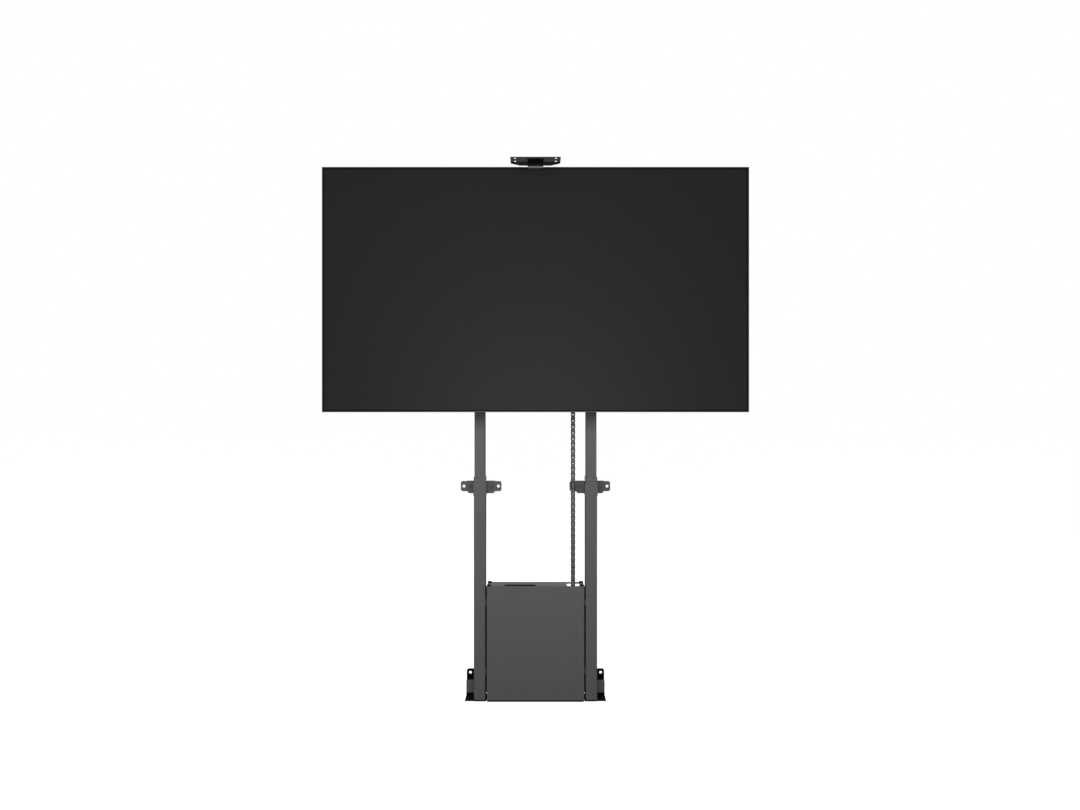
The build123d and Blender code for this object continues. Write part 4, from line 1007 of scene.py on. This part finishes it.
# %% Seen or only lit
def seen_directly(tree):
    path = add_node(tree, "ShaderNodeLightPath")
    either = add_node(
        tree,
        "ShaderNodeMath",
        {"operation": "MAXIMUM"},
        links={0: path.outputs["Is Camera Ray"], 1: path.outputs["Is Glossy Ray"]},
    )
    return add_node(
        tree,
        "ShaderNodeMath",
        {"operation": "MAXIMUM"},
        links={0: either.outputs["Value"], 1: path.outputs["Is Transmission Ray"]},
    ).outputs["Value"]


print("ray switch ready")

# %% [markdown]
# The floor bounces the light that it gets and also glows for rays that see it. Its paint adds a little
# light to the glow, so the glow stays just under one and meets the white world without a horizon.

# %% Floor
floor_size = 60.0
floor_glow = 0.975
floor_paint, floor_tree = new_material("painted_studio_floor")
floor_matt = add_node(
    floor_tree, "ShaderNodeBsdfDiffuse", values={"Color": linear("808080"), "Roughness": 1.0}
)
floor_light = add_node(floor_tree, "ShaderNodeEmission", values={"Color": (1, 1, 1, 1)})
glow = add_node(
    floor_tree,
    "ShaderNodeMath",
    {"operation": "MULTIPLY"},
    {1: floor_glow},
    {0: seen_directly(floor_tree)},
)
floor_tree.links.new(glow.outputs["Value"], floor_light.inputs["Strength"])
floor_sum = add_node(
    floor_tree,
    "ShaderNodeAddShader",
    links={0: floor_matt.outputs["BSDF"], 1: floor_light.outputs["Emission"]},
)
add_node(floor_tree, "ShaderNodeOutputMaterial", links={"Surface": floor_sum.outputs["Shader"]})
floor_form = bmesh.new()
bmesh.ops.create_grid(floor_form, x_segments=1, y_segments=1, size=floor_size / 2)
floor_mesh = bpy.data.meshes.new("studio_floor")
floor_form.to_mesh(floor_mesh)
floor_form.free()
floor_mesh.materials.append(floor_paint)
floor = bpy.data.objects.new("studio_floor", floor_mesh)
bpy.context.scene.collection.objects.link(floor)
print("floor", floor_size, "m")

# %% [markdown]
# The world is white where it is seen, and gives the object only a quiet ambient light, so that the foot of
# the lift and the undersides still darken.

# %% World
ambient = 0.12
world = bpy.data.worlds.new("white_studio")
world.use_nodes = True
world.node_tree.nodes.clear()
quiet = add_node(
    world.node_tree, "ShaderNodeBackground", values={"Color": (1, 1, 1, 1), "Strength": ambient}
)
white = add_node(world.node_tree, "ShaderNodeBackground", values={"Color": (1, 1, 1, 1), "Strength": 1.0})
choice = add_node(
    world.node_tree,
    "ShaderNodeMixShader",
    links={
        0: seen_directly(world.node_tree),
        1: quiet.outputs["Background"],
        2: white.outputs["Background"],
    },
)
add_node(world.node_tree, "ShaderNodeOutputWorld", links={"Surface": choice.outputs["Shader"]})
bpy.context.scene.world = world
print("ambient", ambient)

# %% [markdown]
# The key light is a soft box close in front of the screen. It lights the fronts of the columns, lets the
# screen throw its soft shadow on their tops, and fades towards the floor. A low box stands far in front:
# the glass reflects it as the faint glow that grows towards the screen's lower edge. A small box lifts the
# brackets just under the screen. One high box behind gives the top faces and the back their light, and a
# weak box on each side shows the shape from there. Places and sizes are in metres. The glass would mirror
# the key and the small box as bright panels, so these two light the lift without being seen in it.

# %% Lights
def add_soft_box(name, place, target, size, watts):
    data = bpy.data.lights.new(name, "AREA")
    data.shape = "RECTANGLE"
    data.size, data.size_y = size
    data.energy = watts
    lamp = bpy.data.objects.new(name, data)
    lamp.location = place
    lamp.rotation_euler = (Vector(target) - Vector(place)).to_track_quat("-Z", "Y").to_euler()
    bpy.context.scene.collection.objects.link(lamp)
    return lamp


soft_boxes = {
    "key_soft_box": dict(place=(-0.15, -1.75, 1.88), target=(0, 0, 1.3), size=(1.6, 0.95), watts=32.5),
    "low_glow": dict(place=(0, -4.2, 0.85), target=(0, 0, 1.0), size=(1.2, 0.8), watts=33),
    "under_screen_glow": dict(place=(0, -2.0, 1.15), target=(0, 0, 1.1), size=(0.8, 0.3), watts=4.5),
    "back_soft_box": dict(place=(0.4, 2.4, 4.0), target=(0, 0, 1.0), size=(2.4, 1.4), watts=110),
    "left_side": dict(place=(-4.0, 1.2, 1.8), target=(0, 0, 1.2), size=(1.2, 1.6), watts=14),
    "right_side": dict(place=(4.0, 1.2, 1.8), target=(0, 0, 1.2), size=(1.2, 1.6), watts=14),
}
lamps = {name: add_soft_box(name, **setting) for name, setting in soft_boxes.items()}
for name in ("key_soft_box", "under_screen_glow"):
    lamps[name].visible_camera = False
    lamps[name].visible_glossy = False
print("lamps", len(lamps))
